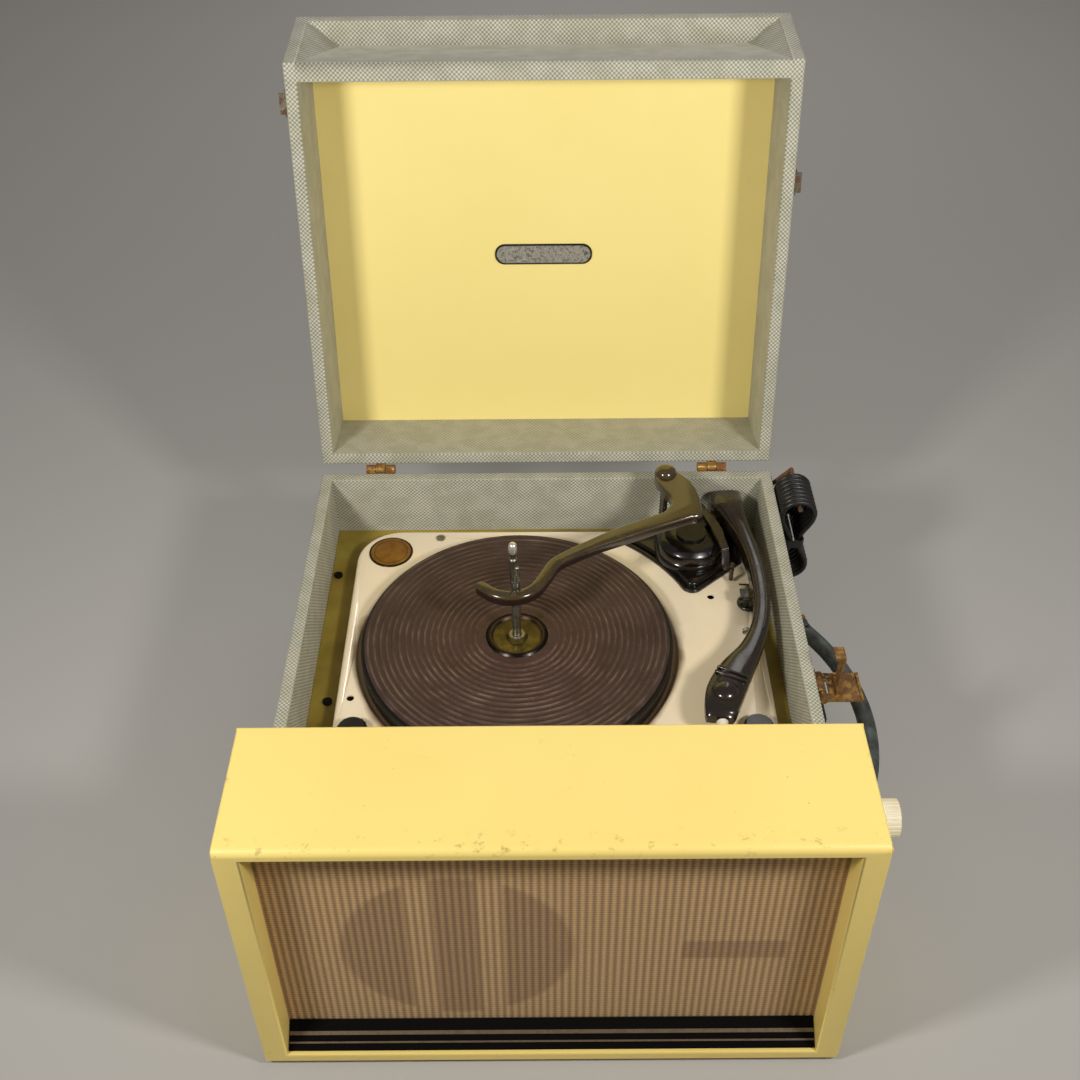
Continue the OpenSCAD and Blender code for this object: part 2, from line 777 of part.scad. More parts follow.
// Toothed cam gear of the changer, turning on a stud under the plate
module cam_gear() {
    gear_r = 34;
    teeth = 60;
    gear_t = 4;
    color("#b8b6ae") at(cam_x, cam_y, cam_z) difference() {
        linear_extrude(gear_t) polygon([
            for (i = [0:teeth - 1], k = [[0, -1.5], [0.25, 0], [0.5, 0], [0.75, -1.5]])
                (gear_r + k[1]) * [cos(360 * (i + k[0]) / teeth), sin(360 * (i + k[0]) / teeth)]
        ]);
        at(0, 0, -1) cylinder(r = cam_stud_r + run, h = gear_t + 2);
        rotate([0, 0, 30]) at(20, 0, -1) cylinder(r = 6, h = gear_t + 2);
        rotate([0, 0, 210]) at(20, 0, -1) cylinder(r = 6, h = gear_t + 2);
    }
}

module main_bearing() {
    flange_r = 18;
    color("#8f8b80") at(platter_x, platter_y, 0) difference() {
        union() {
            at(0, 0, floor_z - 18) cylinder(r = bearing_r, h = platter_z - floor_z + 16);
            at(0, 0, floor_z) cylinder(r = flange_r, h = 1.6);
        }
        at(0, 0, floor_z - 19) cylinder(r = spindle_r + run, h = 60);
    }
}

// Fixed changer spindle with its offset upper part and record shelf
module centre_spindle() {
    shelf_down = 38;
    step_z = mat_z + spindle_h - shelf_down;
    tip = 5;
    off = [-1.6, 1];
    color("#9d9a94") at(platter_x, platter_y, 0) {
        at(0, 0, floor_z - 18) cylinder(r = spindle_r, h = step_z - floor_z + 18);
        at(off[0], off[1], step_z - 3)
            cylinder(r = spindle_r - 0.6, h = mat_z + spindle_h - step_z + 3 - tip);
        at(off[0], off[1], mat_z + spindle_h - tip) cylinder(r1 = spindle_r - 0.6, r2 = 1.2, h = tip);
    }
}

// Pressed turntable with a turned-down rim
module platter() {
    color("#4d4837") at(platter_x, platter_y, platter_z) rotate_extrude() polygon([
        [bearing_r + run, -platter_z + floor_z + 2.4], [hub_r, -platter_z + floor_z + 2.4],
        [hub_r, -platter_t],
        [rim_in_r, -platter_t], [rim_in_r, -rim_drop], [platter_r, -rim_drop], [platter_r, -1],
        [platter_r - 1, 0], [bearing_r + run, 0]
    ]);
}

// Rubber mat with concentric ribs
module platter_mat() {
    ribs = 16;
    rib_in = 34;
    rib_pitch = (mat_r - 8 - rib_in) / ribs;
    groove = 1;
    color("#5a4336") at(platter_x, platter_y, platter_z) rotate_extrude() polygon(concat(
        [[hub_plate_r + fit, 0], [hub_plate_r + fit, mat_t - 0.8], [rib_in - 4, mat_t]],
        [for (i = [0:ribs - 1], k = [[0, 0], [0.3, -groove], [0.5, -groove], [0.8, 0]])
            [rib_in + (i + k[0]) * rib_pitch, mat_t + k[1]]],
        [[mat_r - 2, mat_t], [mat_r, mat_t - 1.5], [mat_r, 0]]
    ));
}

// Brass hub disc inside a bright ring
module hub_plate() {
    ring_in = 19.5;
    bore = spindle_r + 0.4;
    color("#8a7a3a") at(platter_x, platter_y, platter_z) rotate_extrude() polygon([
        [bore, 0], [hub_plate_r, 0], [hub_plate_r, mat_t - 1], [hub_plate_r - 1.5, mat_t + 0.4],
        [ring_in + 1.5, mat_t + 0.4], [ring_in, mat_t - 1.5], [9, mat_t - 2.2], [7, mat_t + 1],
        [bore, mat_t + 1]
    ]);
}

// Outline of the corner moulding from the turret, drawn in by a margin;
// its left side runs round the turntable
flange_arc_r = 156;
function flange_outline(margin) =
    let(r = flange_arc_r + margin, x = turret_x - platter_x, y = turret_y - platter_y,
        first = acos((x - 64.5 + margin) / r), last = 27.5)
    concat(
        [[-4.9 + 0.4 * margin, -56.7 + 1.65 * margin], [44.5 - margin, -13.8 + 0.45 * margin],
         [44.5 - margin, 29 - margin], [-64.5 + margin, 29 - margin]],
        [for (i = [0:5]) let(a = first + (last - first) * i / 5) [r * cos(a) - x, r * sin(a) - y]]);

// Corner moulding with a step round its edge, and the round turret on it
module arm_housing() {
    arc_points = [0, 0, 0, 0, 0, 0];
    color("#2e211b") at(turret_x, turret_y, plate_z) difference() {
        union() {
            linear_extrude(3) polygon(rounded(flange_outline(0), concat([9.8, 4, 4, 0.5], arc_points)));
            linear_extrude(flange_h) polygon(rounded(flange_outline(4), concat([6.5, 3, 3, 0.4], arc_points)));
            rotate_extrude() polygon([
                [0, 0], [turret_r + 1.5, 0], [turret_r + 1.5, flange_h + 2], [turret_r, flange_h + 4],
                [turret_r, turret_h - 3], [turret_r - 1.5, turret_h], [0, turret_h]
            ]);
            at(post_x - turret_x, post_y - turret_y, 0) cylinder(r = 6, h = flange_h + 6);
        }
        at(0, 0, -1) cylinder(r = 4 + run, h = turret_h + 2);
        at(post_x - turret_x, post_y - turret_y, -1) cylinder(r = post_r + run, h = turret_h);
    }
}

// Post that slides in the moulding and carries the steadying arm
module steady_post() {
    below = 50;
    color("#8f8a80") at(post_x, post_y, plate_z - below)
        cylinder(r = post_r, h = steady_h + below + steady_t - 2);
}

// Broad neck from the post to the elbow, as an outline from the post
steady_neck = [
    [-9.4, 2], [-8, -10], [-2.5, -24], [3, -37], [-6, -51], [0, -56.5], [15.3, -57.7], [27, -54], [26.5, -33],
    [20.5, -9], [9, 4], [0, 9]
];
steady_neck_radii = [2, 12, 0, 6, 0, 0, 0, 5, 30, 12, 5, 5];
// Middle line with widths: straight run from the elbow, then the hook round the spindle
steady_run = [[12, -50.8, 15.3], [-14, -63.4, 15.3], [-43, -77.6, 14.5], [-64, -89, 12]];
steady_hook = [
    [45, 38.5, 10.5], [31, 27.5, 10], [23, 12.5, 10], [14, -2.5, 10], [0, -9.5, 9.6], [-15, -7.5, 9.6],
    [-27, 1.5, 9]
];
steady_path = concat(
    [for (p = steady_run) [post_x + p[0], post_y + p[1], p[2]]],
    [for (p = steady_hook) [platter_x + p[0], platter_y + p[1], p[2]]]
);

module steady_arm() {
    head_r = 9.6;
    head_h = 15;
    color("#4a3a1c") difference() {
        union() {
            at(0, 0, steady_z) linear_extrude(steady_t) polygon(strip(steady_path, 5));
            at(post_x, post_y, steady_z) linear_extrude(steady_t)
                polygon(rounded(steady_neck, steady_neck_radii));
            at(post_x, post_y, steady_z - 5) rotate_extrude() polygon(rounded(
                [[0, 0], [7.5, 0], [head_r, 5], [head_r, head_h + 5], [0, head_h + 5]], [0, 0, 0, 6, 0]
            ));
        }
        at(post_x, post_y, steady_z - 6) cylinder(r = post_r + run, h = steady_t + 5);
    }
}

// Steel bracket on the vertical shaft, with the lug and the pin that the arm lifts on
lug_x = 33;
bracket_t = 2.4;
module arm_bracket() {
    shaft_r = 4;
    shaft_l = turret_h + 6;
    strip_w = 9;
    lug = 4;
    z0 = turret_z + rest_gap;
    color("#4c4a45") at(turret_x, turret_y, 0) {
        at(0, 0, z0 - shaft_l) cylinder(r = shaft_r, h = shaft_l + 1);
        at(0, 0, z0) cylinder(r = 13, h = bracket_t);
        at(0, 0, z0) rotate([0, 0, atan2(lift_y, lug_x)])
            at(0, -strip_w / 2, 0) cube([norm([lug_x, lift_y]), strip_w, bracket_t]);
        at(lug_x - lug, lift_y - lug, z0) cube([2 * lug, 2 * lug, lift_z - z0 + lug]);
        at(lug_x - pin_reach, lift_y, lift_z) x_rod(lift_pin_r, 2 * pin_reach);
    }
}
pin_reach = 14;

// Tonearm's middle line with widths, from the rear block to the head, from the turret
arm_path = [
    [33, 41, 29], [34, 30, 28], [38, 16, 21], [44, -6, 15], [49.5, -36, 13.5], [51, -66, 13.5],
    [49.5, -92, 13.5], [44, -117, 14.5], [34, -140, 18], [20, -163, 26], [9, -186, 29], [4, -204, 24],
    [3, -210, 20]
];
// Side view of the arm: [distance behind the turret, height above the lower edge]
arm_back = [
    [41, 21], [24, 22.5], [6, 17.5], [-40, 13.5], [-100, 12], [-148, 11.5], [-172, 14], [-196, 12.5],
    [-206, 11], [-210, 8]
];
cartridge_x = 4.4;
cartridge_y = -203;
cartridge_z = 3.6;

module arm_solid(inset, drop) {
    y_rear = arm_back[0][0] - inset;
    y_head = arm_back[len(arm_back) - 1][0] + inset;
    intersection() {
        linear_extrude(2 * arm_back[1][1]) polygon(strip(arm_path, 4, inset));
        along_x(4 * arm_path[0][0]) polygon(concat(
            [[y_head, -drop], [y_rear, -drop]],
            [for (p = arm_back) [min(max(p[0], y_head), y_rear), p[1] - drop]]
        ));
    }
}

module tonearm() {
    notch_w = 15;
    color("#2e211b") at(turret_x, turret_y, arm_z) difference() {
        union() {
            difference() {
                arm_solid(0, 0);
                at(0, 0, -0.01) arm_solid(arm_wall, arm_wall);
            }
            at(-14, -196, 1) cube([9, 4, 1.6]);
        }
        rotate([0, 0, atan2(lift_y, lug_x)]) at(12, -notch_w / 2, -1) cube([30, notch_w, lift_z - arm_z + 1]);
        at(lug_x - 25, lift_y, lift_z - arm_z) x_rod(lift_pin_r + run, 50);
        at(cartridge_x, cartridge_y - 20, cartridge_z) y_rod(head_bore_r + run, 20);
    }
}

// Turnover cartridge with two styli on its shaft, and the knob in front of the head
head_bore_r = 2.2;
module turnover_cartridge() {
    body = [8, 20, 4.4];
    stylus = 2.8;
    color("#efe8d8") at(turret_x + cartridge_x, turret_y + cartridge_y, arm_z + cartridge_z) {
        at(0, -10, 0) y_rod(head_bore_r, 17);
        at(-body[0] / 2, 5, -body[2] / 2) cube(body);
        at(0, -14, 0) rotate([-90, 0, 0]) cylinder(r1 = 3.8, r2 = 4.5, h = 5);
        for (s = [0, 180])
            rotate([0, s, 0]) at(0, 18, body[2] / 2) cylinder(r1 = 1.2, r2 = 0.3, h = stylus);
    }
}

// Curved finger that turns with the arm: it lies on the bracket and slopes down past the turret to a pin
finger_path = [
    [9, 33, 7], [13, 24.5, 7.5], [18.2, 11.7, 8], [22.5, -3, 8], [25, -17.3, 7.5], [26.5, -27, 6.5]
];
finger_t = 3;
finger_drop = 9;
finger_run = 11;
finger_pin_in = 5.4;
finger_pin_up = 4.4;
module sensing_lever() {
    end = finger_path[len(finger_path) - 1];
    z0 = turret_z + rest_gap + bracket_t;
    slope = atan2(finger_drop, finger_run);
    tip_y = end[1] - finger_run;
    pin_r = 1.9;
    color("#3a2a20") at(turret_x, turret_y, z0) {
        linear_extrude(finger_t) polygon(strip(finger_path, 4));
        at(end[0] - end[2] / 2, end[1] + 1.5, 0) rotate([slope, 0, 0]) mirror([0, 1, 0])
            cube([end[2], norm([finger_run, finger_drop]) + 1.5, finger_t]);
        at(end[0], tip_y, -finger_drop) cylinder(r = end[2] / 2, h = finger_t);
        at(end[0], tip_y - 2, -finger_drop) cube([finger_pin_in, 4, finger_t]);
        at(end[0] + finger_pin_in, tip_y, plate_z + finger_pin_up - z0)
            cylinder(r = pin_r, h = z0 + finger_t - finger_drop - plate_z - finger_pin_up);
        at(end[0] + finger_pin_in, tip_y, finger_t - finger_drop) cylinder(r1 = 2.8, r2 = 1.8, h = 1.6);
    }
}

// Post and cradle that the tonearm lies on
module arm_rest() {
    cradle_z = arm_z - plate_z - rest_gap - 2.2;
    color("#1d1a17") at(rest_x, rest_y, plate_z) {
        cylinder(r = 5, h = 2);
        cylinder(r = 3, h = cradle_z);
        at(-11, -5, cradle_z) cube([22, 10, 2.2]);
        at(-3, 0, 5) rotate_extrude() translate([8, 0]) circle(r = 1.8);
        at(-11, -1.8, 3.2) cube([10, 3.6, 3.6]);
    }
}

module fluted_knob(r, h) {
    difference() {
        union() {
            cylinder(r = r, h = h - 2);
            at(0, 0, h - 2) cylinder(r1 = r, r2 = r - 2, h = 2);
        }
        for (i = [0:17])
            rotate([0, 0, i * 20]) at(r + 0.4, 0, 2) cylinder(r = 1.2, h = h);
    }
}

module deck_knob(x) {
    color("#171512") at(x, knob_y, plate_z) {
        at(0, 0, 0.6) fluted_knob(deck_knob_r, deck_knob_h);
        at(0, 0, -12) cylinder(r = knob_shaft_r, h = 14);
    }
}

module speed_knob() {
    deck_knob(speed_x);
}

module control_knob() {
    deck_knob(control_x);
    color("#171512") at(control_x - 1.6, knob_y - deck_knob_r - 7, plate_z + 3) cube([3.2, 9, 6]);
}

// One hinge half: a leaf with the knuckles of the given slots
module hinge_leaf(slots, up, bore) {
    seg = hinge_w / 3;
    gap = 0.25;
    web = 6;
    way = up ? 1 : -1;
    difference() {
        union() {
            for (i = slots)
                at(-hinge_w / 2 + i * seg + gap, 0, 0) {
                    at(0, hinge_y, hinge_z) x_rod(knuckle_r, seg - 2 * gap);
                    at(0, back, up ? hinge_z : hinge_z - web) cube([seg - 2 * gap, leaf_t + 0.6, web]);
                }
            at(-hinge_w / 2 + gap, back, up ? hinge_z + knuckle_r + 0.6 : hinge_z - knuckle_r - 0.6 - leaf_h)
                cube([hinge_w - 2 * gap, leaf_t, leaf_h]);
        }
        if (bore)
            at(-hinge_w, hinge_y, hinge_z) x_rod(hinge_pin_r + run, 2 * hinge_w);
        for (x = [-1, 1])
            at(x * hinge_w / 4, back - 1, hinge_z + way * (knuckle_r + leaf_h / 2)) y_rod(1.6, leaf_t + 3);
    }
}

// Leaves on the case with their fixed pins
module case_hinges() {
    color("#a9843c") for (s = [-1, 1]) at(s * hinge_x, 0, 0) {
        hinge_leaf([0, 2], false, false);
        at(-hinge_w / 2, hinge_y, hinge_z) x_rod(hinge_pin_r, hinge_w);
    }
}

module lid_hinge_leaves() {
    color("#a9843c") opened() for (s = [-1, 1]) at(s * hinge_x, 0, 0) hinge_leaf([1], true, true);
}

// Lid box with its overhanging top and sloping cheeks
module lid_shell() {
    color("#c9c4b2") opened() difference() {
        along_x(case_w) polygon(rounded([
            [back, lid_z], [back, top_z], [front + housing_top_d + parting_gap, top_z],
            [lid_front - (lid_z - rim_z) * parting_slope, lid_z]
        ], [0, 5, 2, 0]));
        along_x(inner_w) polygon([
            [lid_front + lid_front_t, lid_z - 1], [back - wall, lid_z - 1],
            [back - wall, lid_inner_z], [lid_front + lid_front_t, lid_inner_z]
        ]);
        along_x(inner_w) polygon([
            [lid_front, lid_z - 1], [lid_front, lid_inner_z], [front, lid_inner_z], [front, lid_z - 1]
        ]);
    }
}

// Yellow lining: a board under the lid's top, inside the walls
module lid_liner() {
    y0 = lid_front + lid_front_t;
    color("#fce88a") opened() at(-inner_w / 2, y0, liner_z) cube([inner_w, back - wall - y0, liner_t]);
}

// Three-cornered cloth gussets at the ends of the lid's front recess
module lid_gussets() {
    z1 = lid_inner_z;
    color("#c9c4b2") opened() for (s = [-1, 1]) scale([s, 1, 1]) polyhedron(
        [
            [inner_w / 2, lid_front, z1], [inner_w / 2, lid_front - 19, z1],
            [inner_w / 2 - 24, lid_front, z1], [inner_w / 2, lid_front, lid_z + 3]
        ],
        [[0, 1, 2], [0, 3, 1], [0, 2, 3], [1, 3, 2]]
    );
}

// Blank oblong plate on the lining
lid_plate_y = (lid_front + lid_front_t + back - wall) / 2;
module lid_plate() {
    w = 85;
    h = 18;
    color("#cfcdc6") opened() at(-1, lid_plate_y, liner_z - 1.2)
        linear_extrude(1.2) polygon(box2(w, h, h / 2 - 0.5));
}

// Draw catch on the right: base with a middle knuckle
module catch_base() {
    plate_t = 1.5;
    tongue = 12;
    difference() {
        union() {
            at(0, -catch_w / 2 + 4, -22) cube([plate_t, catch_w - 8, 32]);
            at(catch_out, -tongue / 2, 0) y_rod(3.4, tongue);
            at(0, -tongue / 2, -3.4) cube([catch_out, tongue, 6.8]);
        }
        at(catch_out, -catch_w, 0) y_rod(catch_pin_r + run, 2 * catch_w);
        for (z = [-17, 8]) at(-1, 0, z - 0.5) x_rod(1.6, plate_t + 2);
    }
}

// Keeper plate with a lip, on the lid
module keeper() {
    at(0, -10, lid_z + 1) cube([1.2, 20, 18]);
    at(0, -8, lid_z + 1.6) cube([keeper_lip, 16, 2]);
    for (z = [9, 15]) at(0.8, 0, lid_z + z) x_rod(1.7, 1.4);
}

module lid_keepers() {
    color("#a9843c") opened() {
        at(side, catch_right_y, 0) keeper();
        mirror([1, 0, 0]) at(side, catch_left_y, 0) keeper();
    }
}

// Lever with its hinge pin, and ears with the pin that carries the claw
module catch_lever() {
    t = 1.5;
    slot = 13;
    difference() {
        union() {
            at(-0.5, -catch_w / 2, -t / 2) cube([lever_l + 0.5, catch_w, t]);
            for (y = [-catch_w / 2, slot / 2]) at(0, y, 0) y_rod(3, (catch_w - slot) / 2);
            at(lever_l - 2, -catch_w / 2, -t / 2) cube([2, catch_w, t + 1.1]);
            for (y = [-claw_w / 2 - 2.5, claw_w / 2 + 0.5])
                at(claw_at - 2.4, y, 0) cube([4.8, 2, claw_up + 2.2]);
        }
        at(-4, -slot / 2, -4) cube([9, slot, 8]);
    }
    at(0, -catch_w / 2, 0) y_rod(catch_pin_r, catch_w);
    at(claw_at, -claw_w / 2 - 2.5, claw_up) y_rod(claw_pin_r, claw_w + 5);
}

module catch_claw() {
    t = 2;
    difference() {
        union() {
            at(0, -claw_w / 2, 0) y_rod(2.3, claw_w);
            at(-t / 2, -claw_w / 2 + 1, 0) cube([t, claw_w - 2, claw_l]);
            at(-claw_reach, -claw_w / 2 + 1, claw_l - t) cube([claw_reach, claw_w - 2, t]);
        }
        at(0, -claw_w, 0) y_rod(claw_pin_r + run, 2 * claw_w);
    }
}

module at_right_catch() {
    at(side + catch_out, catch_right_y, catch_z) children();
}

// The left catch hangs folded against the side
module at_left_catch() {
    mirror([1, 0, 0]) at(side + catch_out, catch_left_y, catch_z) rotate([0, left_fold, 0]) children();
}

module catch_lever_right() {
    color("#a9662f") at_right_catch() catch_lever();
}

module catch_claw_right() {
    color("#9a6a48") at_right_catch() at(claw_at, 0, claw_up) catch_claw();
}

module catch_lever_left() {
    color("#a9662f") at_left_catch() catch_lever();
}

module catch_claw_left() {
    color("#9a6a48") at_left_catch() at(claw_at, 0, claw_up) rotate([0, 180 - left_fold, 0]) catch_claw();
}

// Plates with the eye and the pin that each end of the handle turns on
module handle_bracket(s) {
    eye = 5;
    plate_t = 1.6;
    y0 = s > 0 ? handle_half + 8.5 : -handle_half - 8.5 - eye;
    at(0, y0 - 5, -13) cube([plate_t, eye + 10, 26]);
    at(0, y0, -4.5) cube([pin_out, eye, 9]);
    at(pin_out, y0, 0) y_rod(4.5, eye);
    at(pin_out, s > 0 ? handle_half + 1 : -handle_half - 8.6, 0) y_rod(handle_pin_r, 7.6);
}

// Steel plates screwed to the case sides: two for the catches, two for the handle
module side_plates() {
    color("#8a6a4a") {
        at(side, catch_right_y, catch_z) catch_base();
        mirror([1, 0, 0]) at(side, catch_left_y, catch_z) catch_base();
        for (s = [-1, 1]) at(side, handle_y, handle_z) handle_bracket(s);
    }
}

// Bowed grip between two drilled ends
module handle_grip() {
    bow_r = (handle_half * handle_half + handle_bow * handle_bow) / (2 * handle_bow);
    half_angle = asin(handle_half / bow_r);
    end_l = 8;
    color("#3f4346") at(side + pin_out, handle_y, handle_z) difference() {
        union() {
            at(handle_bow - bow_r, 0, 0) rotate([0, 0, -half_angle])
                rotate_extrude(angle = 2 * half_angle) translate([bow_r, 0]) circle(r = grip_r);
            for (s = [-1, 1]) {
                at(0, s * handle_half, 0) sphere(r = grip_r + 0.7);
                at(0, s > 0 ? handle_half : -handle_half - end_l, 0) y_rod(grip_r - 1, end_l);
            }
        }
        for (s = [-1, 1])
            at(0, s > 0 ? handle_half + 0.5 : -handle_half - 20.5, 0) y_rod(handle_pin_r + run, 20);
    }
}

// Tapered rubber relief through the rear wall
module cord_relief() {
    color("#1a1917") at(cord_exit_x, back, cord_exit_z) difference() {
        union() {
            at(0, -wall, 0) y_rod(cord_r + 1.5, wall + 1);
            y_rod(7, 3);
            at(0, 2, 0) rotate([-90, 0, 0]) cylinder(r1 = 5.5, r2 = cord_r + 0.9, h = relief_l - 2);
        }
        at(0, relief_l - 8, 0) y_rod(cord_r + 0.02, 20);
    }
}

// Bent rod on a small plate, which carries the hank
module cord_hook() {
    plate = [1.6, 14, 22];
    foot = 1.5;
    rise = [hank_x - side - foot, hook_z - hook_from_z];
    tip_y = hank_y - (hank_loops + 1) * hank_pitch;
    color("#5a3f2c") {
        at(side, hook_y - plate[1] / 2, hook_from_z - plate[2] + 4) cube(plate);
        at(side + foot, hook_y, hook_from_z) rotate([0, atan2(rise[0], rise[1]), 0])
            cylinder(r = hook_r, h = norm(rise));
        at(hank_x, hook_y, hook_z) sphere(r = hook_r + 0.2);
        at(hank_x, tip_y, hook_z) y_rod(hook_r, hook_y - tip_y);
    }
}

// One ring of the hank: up the outer run with the climb to the next loop, over, down the inner run and back
loop_rings = 2 * (fold_rings + run_rings);
function run_off(z) = hank_fold_r - (hank_fold_r - hank_waist) * (1 + cos(360 * z / hank_run)) / 2;
function hank_ring(i) =
    let (
        n = floor(i / loop_rings),
        k = i % loop_rings,
        over = k >= loop_rings / 2,
        j = over ? k - loop_rings / 2 : k,
        t = min(j / run_rings, 1),
        turn = 180 * max(j - run_rings, 0) / fold_rings,
        z = hank_run * (t - 0.5) + hank_fold_r * sin(turn),
        x = j > run_rings ? hank_fold_r * cos(turn) : run_off(z),
        climb = over ? 1 : (1 - cos(180 * t)) / 2
    )
    [hank_x + (over ? -x : x), hank_y - hank_pitch * (n + climb), hank_z + (over ? -z : z)];
hank_last_ring = loop_rings * hank_loops - fold_rings;
hank_turns = [for (i = [0:hank_last_ring]) hank_ring(i)];
hank_lead_in = [0, 0, 2 * cord_r];
hank_first = hank_turns[0] - hank_lead_in;
hank_last = hank_turns[hank_last_ring] - hank_lead_in;
hank_line = concat([hank_first], hank_turns, [hank_last]);
relief_end = [cord_exit_x, back + relief_l - 8, cord_exit_z];
lead_line = concat(
    [relief_end, relief_end + [0, 12, 0]], lead_route, [hank_first - hank_lead_in, hank_first]
);
plug_end = [plug_x, plug_y - 4, plug_h / 2];
tail_line = concat(
    [hank_last, hank_last - hank_lead_in], tail_route, [plug_end + [0, 10, 0], plug_end]
);

// Rings square to the route, carried along without twist
function unit3(v) = v / norm(v);
function tangent(p, i) = unit3(p[min(i + 1, len(p) - 1)] - p[max(i - 1, 0)]);
function carried(n, t) = unit3(n - t * (n * t));
function frames(p, i, n) =
    i == len(p) ? [] : let (m = carried(n, tangent(p, i))) concat([m], frames(p, i + 1, m));
function ring(p, i, n, r, sides) =
    let (t = tangent(p, i), b = cross(t, n))
    [for (k = [0:sides - 1]) p[i] + r * (cos(360 * k / sides) * n + sin(360 * k / sides) * b)];

module tube(p, r, sides) {
    n = frames(p, 0, [1, 0, 0.3]);
    last = len(p) - 1;
    pts = [for (i = [0:last]) each ring(p, i, n[i], r, sides)];
    faces = concat(
        [[for (k = [0:sides - 1]) k]],
        [for (i = [0:last - 1], k = [0:sides - 1])
            let (a = i * sides + k, b = i * sides + (k + 1) % sides)
            each [[a, a + sides, b + sides], [a, b + sides, b]]],
        [[for (k = [sides - 1:-1:0]) last * sides + k]]
    );
    polyhedron(pts, faces);
}

module mains_cord_lead() {
    color("#141312") tube(lead_line, cord_r, tube_sides);
}

module mains_cord_hank() {
    color("#141312") tube(hank_line, cord_r, hank_sides);
}

module mains_cord_tail() {
    color("#141312") tube(tail_line, cord_r, tube_sides);
}

// Band round the waist of the hank
module hank_tie() {
    slack = cord_r + rest_gap;
    step = hank_run / run_rings;
    spread = (run_off(step) - hank_waist) / step;
    first = hank_pitch * (1 - sin(90 * tie_h / hank_run)) / 2;
    w = 2 * (hank_waist + spread * tie_h / 2 + slack * norm([1, spread]));
    l = hank_pitch * hank_loops - first + 2 * slack;
    color("#1a1917") at(hank_x, hank_y + slack - first - l / 2, hank_z - tie_h / 2) difference() {
        linear_extrude(tie_h) polygon(box2(w + 2 * tie_t, l + 2 * tie_t, slack + tie_t));
        at(0, 0, -1) linear_extrude(tie_h + 2) polygon(box2(w, l, slack));
    }
}

// Cord length and least gap between neighbouring loops, printed when the file is built
function length(p) = [for (i = [1:len(p) - 1]) norm(p[i] - p[i - 1])] * [for (i = [1:len(p) - 1]) 1];
hank_gap = min([
    for (i = [0:len(hank_line) - 1], j = [i + 6:1:len(hank_line) - 1]) norm(hank_line[i] - hank_line[j])
]) - 2 * cord_r;
echo(cord_length = length(lead_line) + length(hank_line) + length(tail_line), least_gap_in_hank = hank_gap);

// Rubber plug with two round pins, lying beside the case
module mains_plug() {
    pin_l = 19;
    color("#1c1b19") difference() {
        union() {
            at(plug_x - plug_w / 2, plug_y - plug_l, 0) cube([plug_w, plug_l, plug_h]);
            at(plug_x, plug_y, plug_h / 2) y_rod(6, 6);
        }
        at(plug_x, plug_y - 4, plug_h / 2) y_rod(cord_r + 0.02, 20);
    }
    color("#b08d45") for (s = [-1, 1])
        at(plug_x + s * 9.5, plug_y - plug_l - pin_l, plug_h / 2) y_rod(2.4, pin_l);
}

case_carcass();
front_housing();
base_board();
rubber_feet();
board_battens();
baffle_board();
grille_cloth();
plinth_strip();
plinth_trim();
speaker_basket();
speaker_cone();
amplifier_chassis();
amplifier_valves();
volume_control();
volume_knob();
motor_board();
unit_plate();
suspension_springs();
deck_screws();
badge_disc();
drive_motor();
motor_rotor();
idler_bracket();
idler_wheel();
cam_gear();
main_bearing();
centre_spindle();
platter();
platter_mat();
hub_plate();
arm_housing();
steady_post();
steady_arm();
arm_bracket();
tonearm();
turnover_cartridge();
sensing_lever();
arm_rest();
speed_knob();
control_knob();
case_hinges();
lid_hinge_leaves();
lid_shell();
lid_liner();
lid_gussets();
lid_plate();
lid_keepers();
catch_lever_right();
catch_claw_right();
catch_lever_left();
catch_claw_left();
side_plates();
handle_grip();
cord_hook();
cord_relief();
mains_cord_lead();
mains_cord_hank();
hank_tie();
mains_cord_tail();
mains_plug();
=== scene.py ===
import math

import bmesh
import bpy
from mathutils import Matrix, Vector


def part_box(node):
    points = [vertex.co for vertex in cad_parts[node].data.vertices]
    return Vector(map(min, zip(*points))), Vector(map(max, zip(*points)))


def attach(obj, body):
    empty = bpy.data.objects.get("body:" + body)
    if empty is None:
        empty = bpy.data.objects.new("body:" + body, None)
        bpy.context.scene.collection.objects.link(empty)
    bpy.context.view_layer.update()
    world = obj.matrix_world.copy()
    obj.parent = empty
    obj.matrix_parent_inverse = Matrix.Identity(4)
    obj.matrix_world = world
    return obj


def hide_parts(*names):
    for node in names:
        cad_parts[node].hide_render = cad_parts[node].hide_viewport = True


bl_info = {
    "name": "Portable record player",
    "version": (1, 0, 0),
    "blender": (4, 5, 0),
    "location": "View3D > Sidebar > Record player",
    "description": "Dresses the record player's frame with cloth, cord, mouldings and finishes",
    "category": "Object",
}

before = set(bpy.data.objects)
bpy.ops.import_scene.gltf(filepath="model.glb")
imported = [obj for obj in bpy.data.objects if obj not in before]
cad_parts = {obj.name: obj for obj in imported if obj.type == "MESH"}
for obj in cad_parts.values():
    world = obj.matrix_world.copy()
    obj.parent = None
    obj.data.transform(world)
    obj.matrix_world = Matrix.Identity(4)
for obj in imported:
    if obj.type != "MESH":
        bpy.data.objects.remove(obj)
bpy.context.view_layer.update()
MM = 0.001

# Places that several pieces share, in millimetres, as the frame has them
SIDE = 200.0
LID_ANGLE = 101.65
HINGE_AXIS = Vector((0, 235.5, 157.3)) * MM
PLATTER = (-25.0, 59.5)
TURRET = (125.6, 172.0)
POST = (103.0, 199.0)
ARM_Z = 127.5
STEADY_Z = 171.0
STEADY_T = 9.0
PLATE_CORNER = 38.0
WELL_RADIUS = 131.4
FACE_LEAN = 7.7 / 236
GLOSS_SPREAD = 0.12

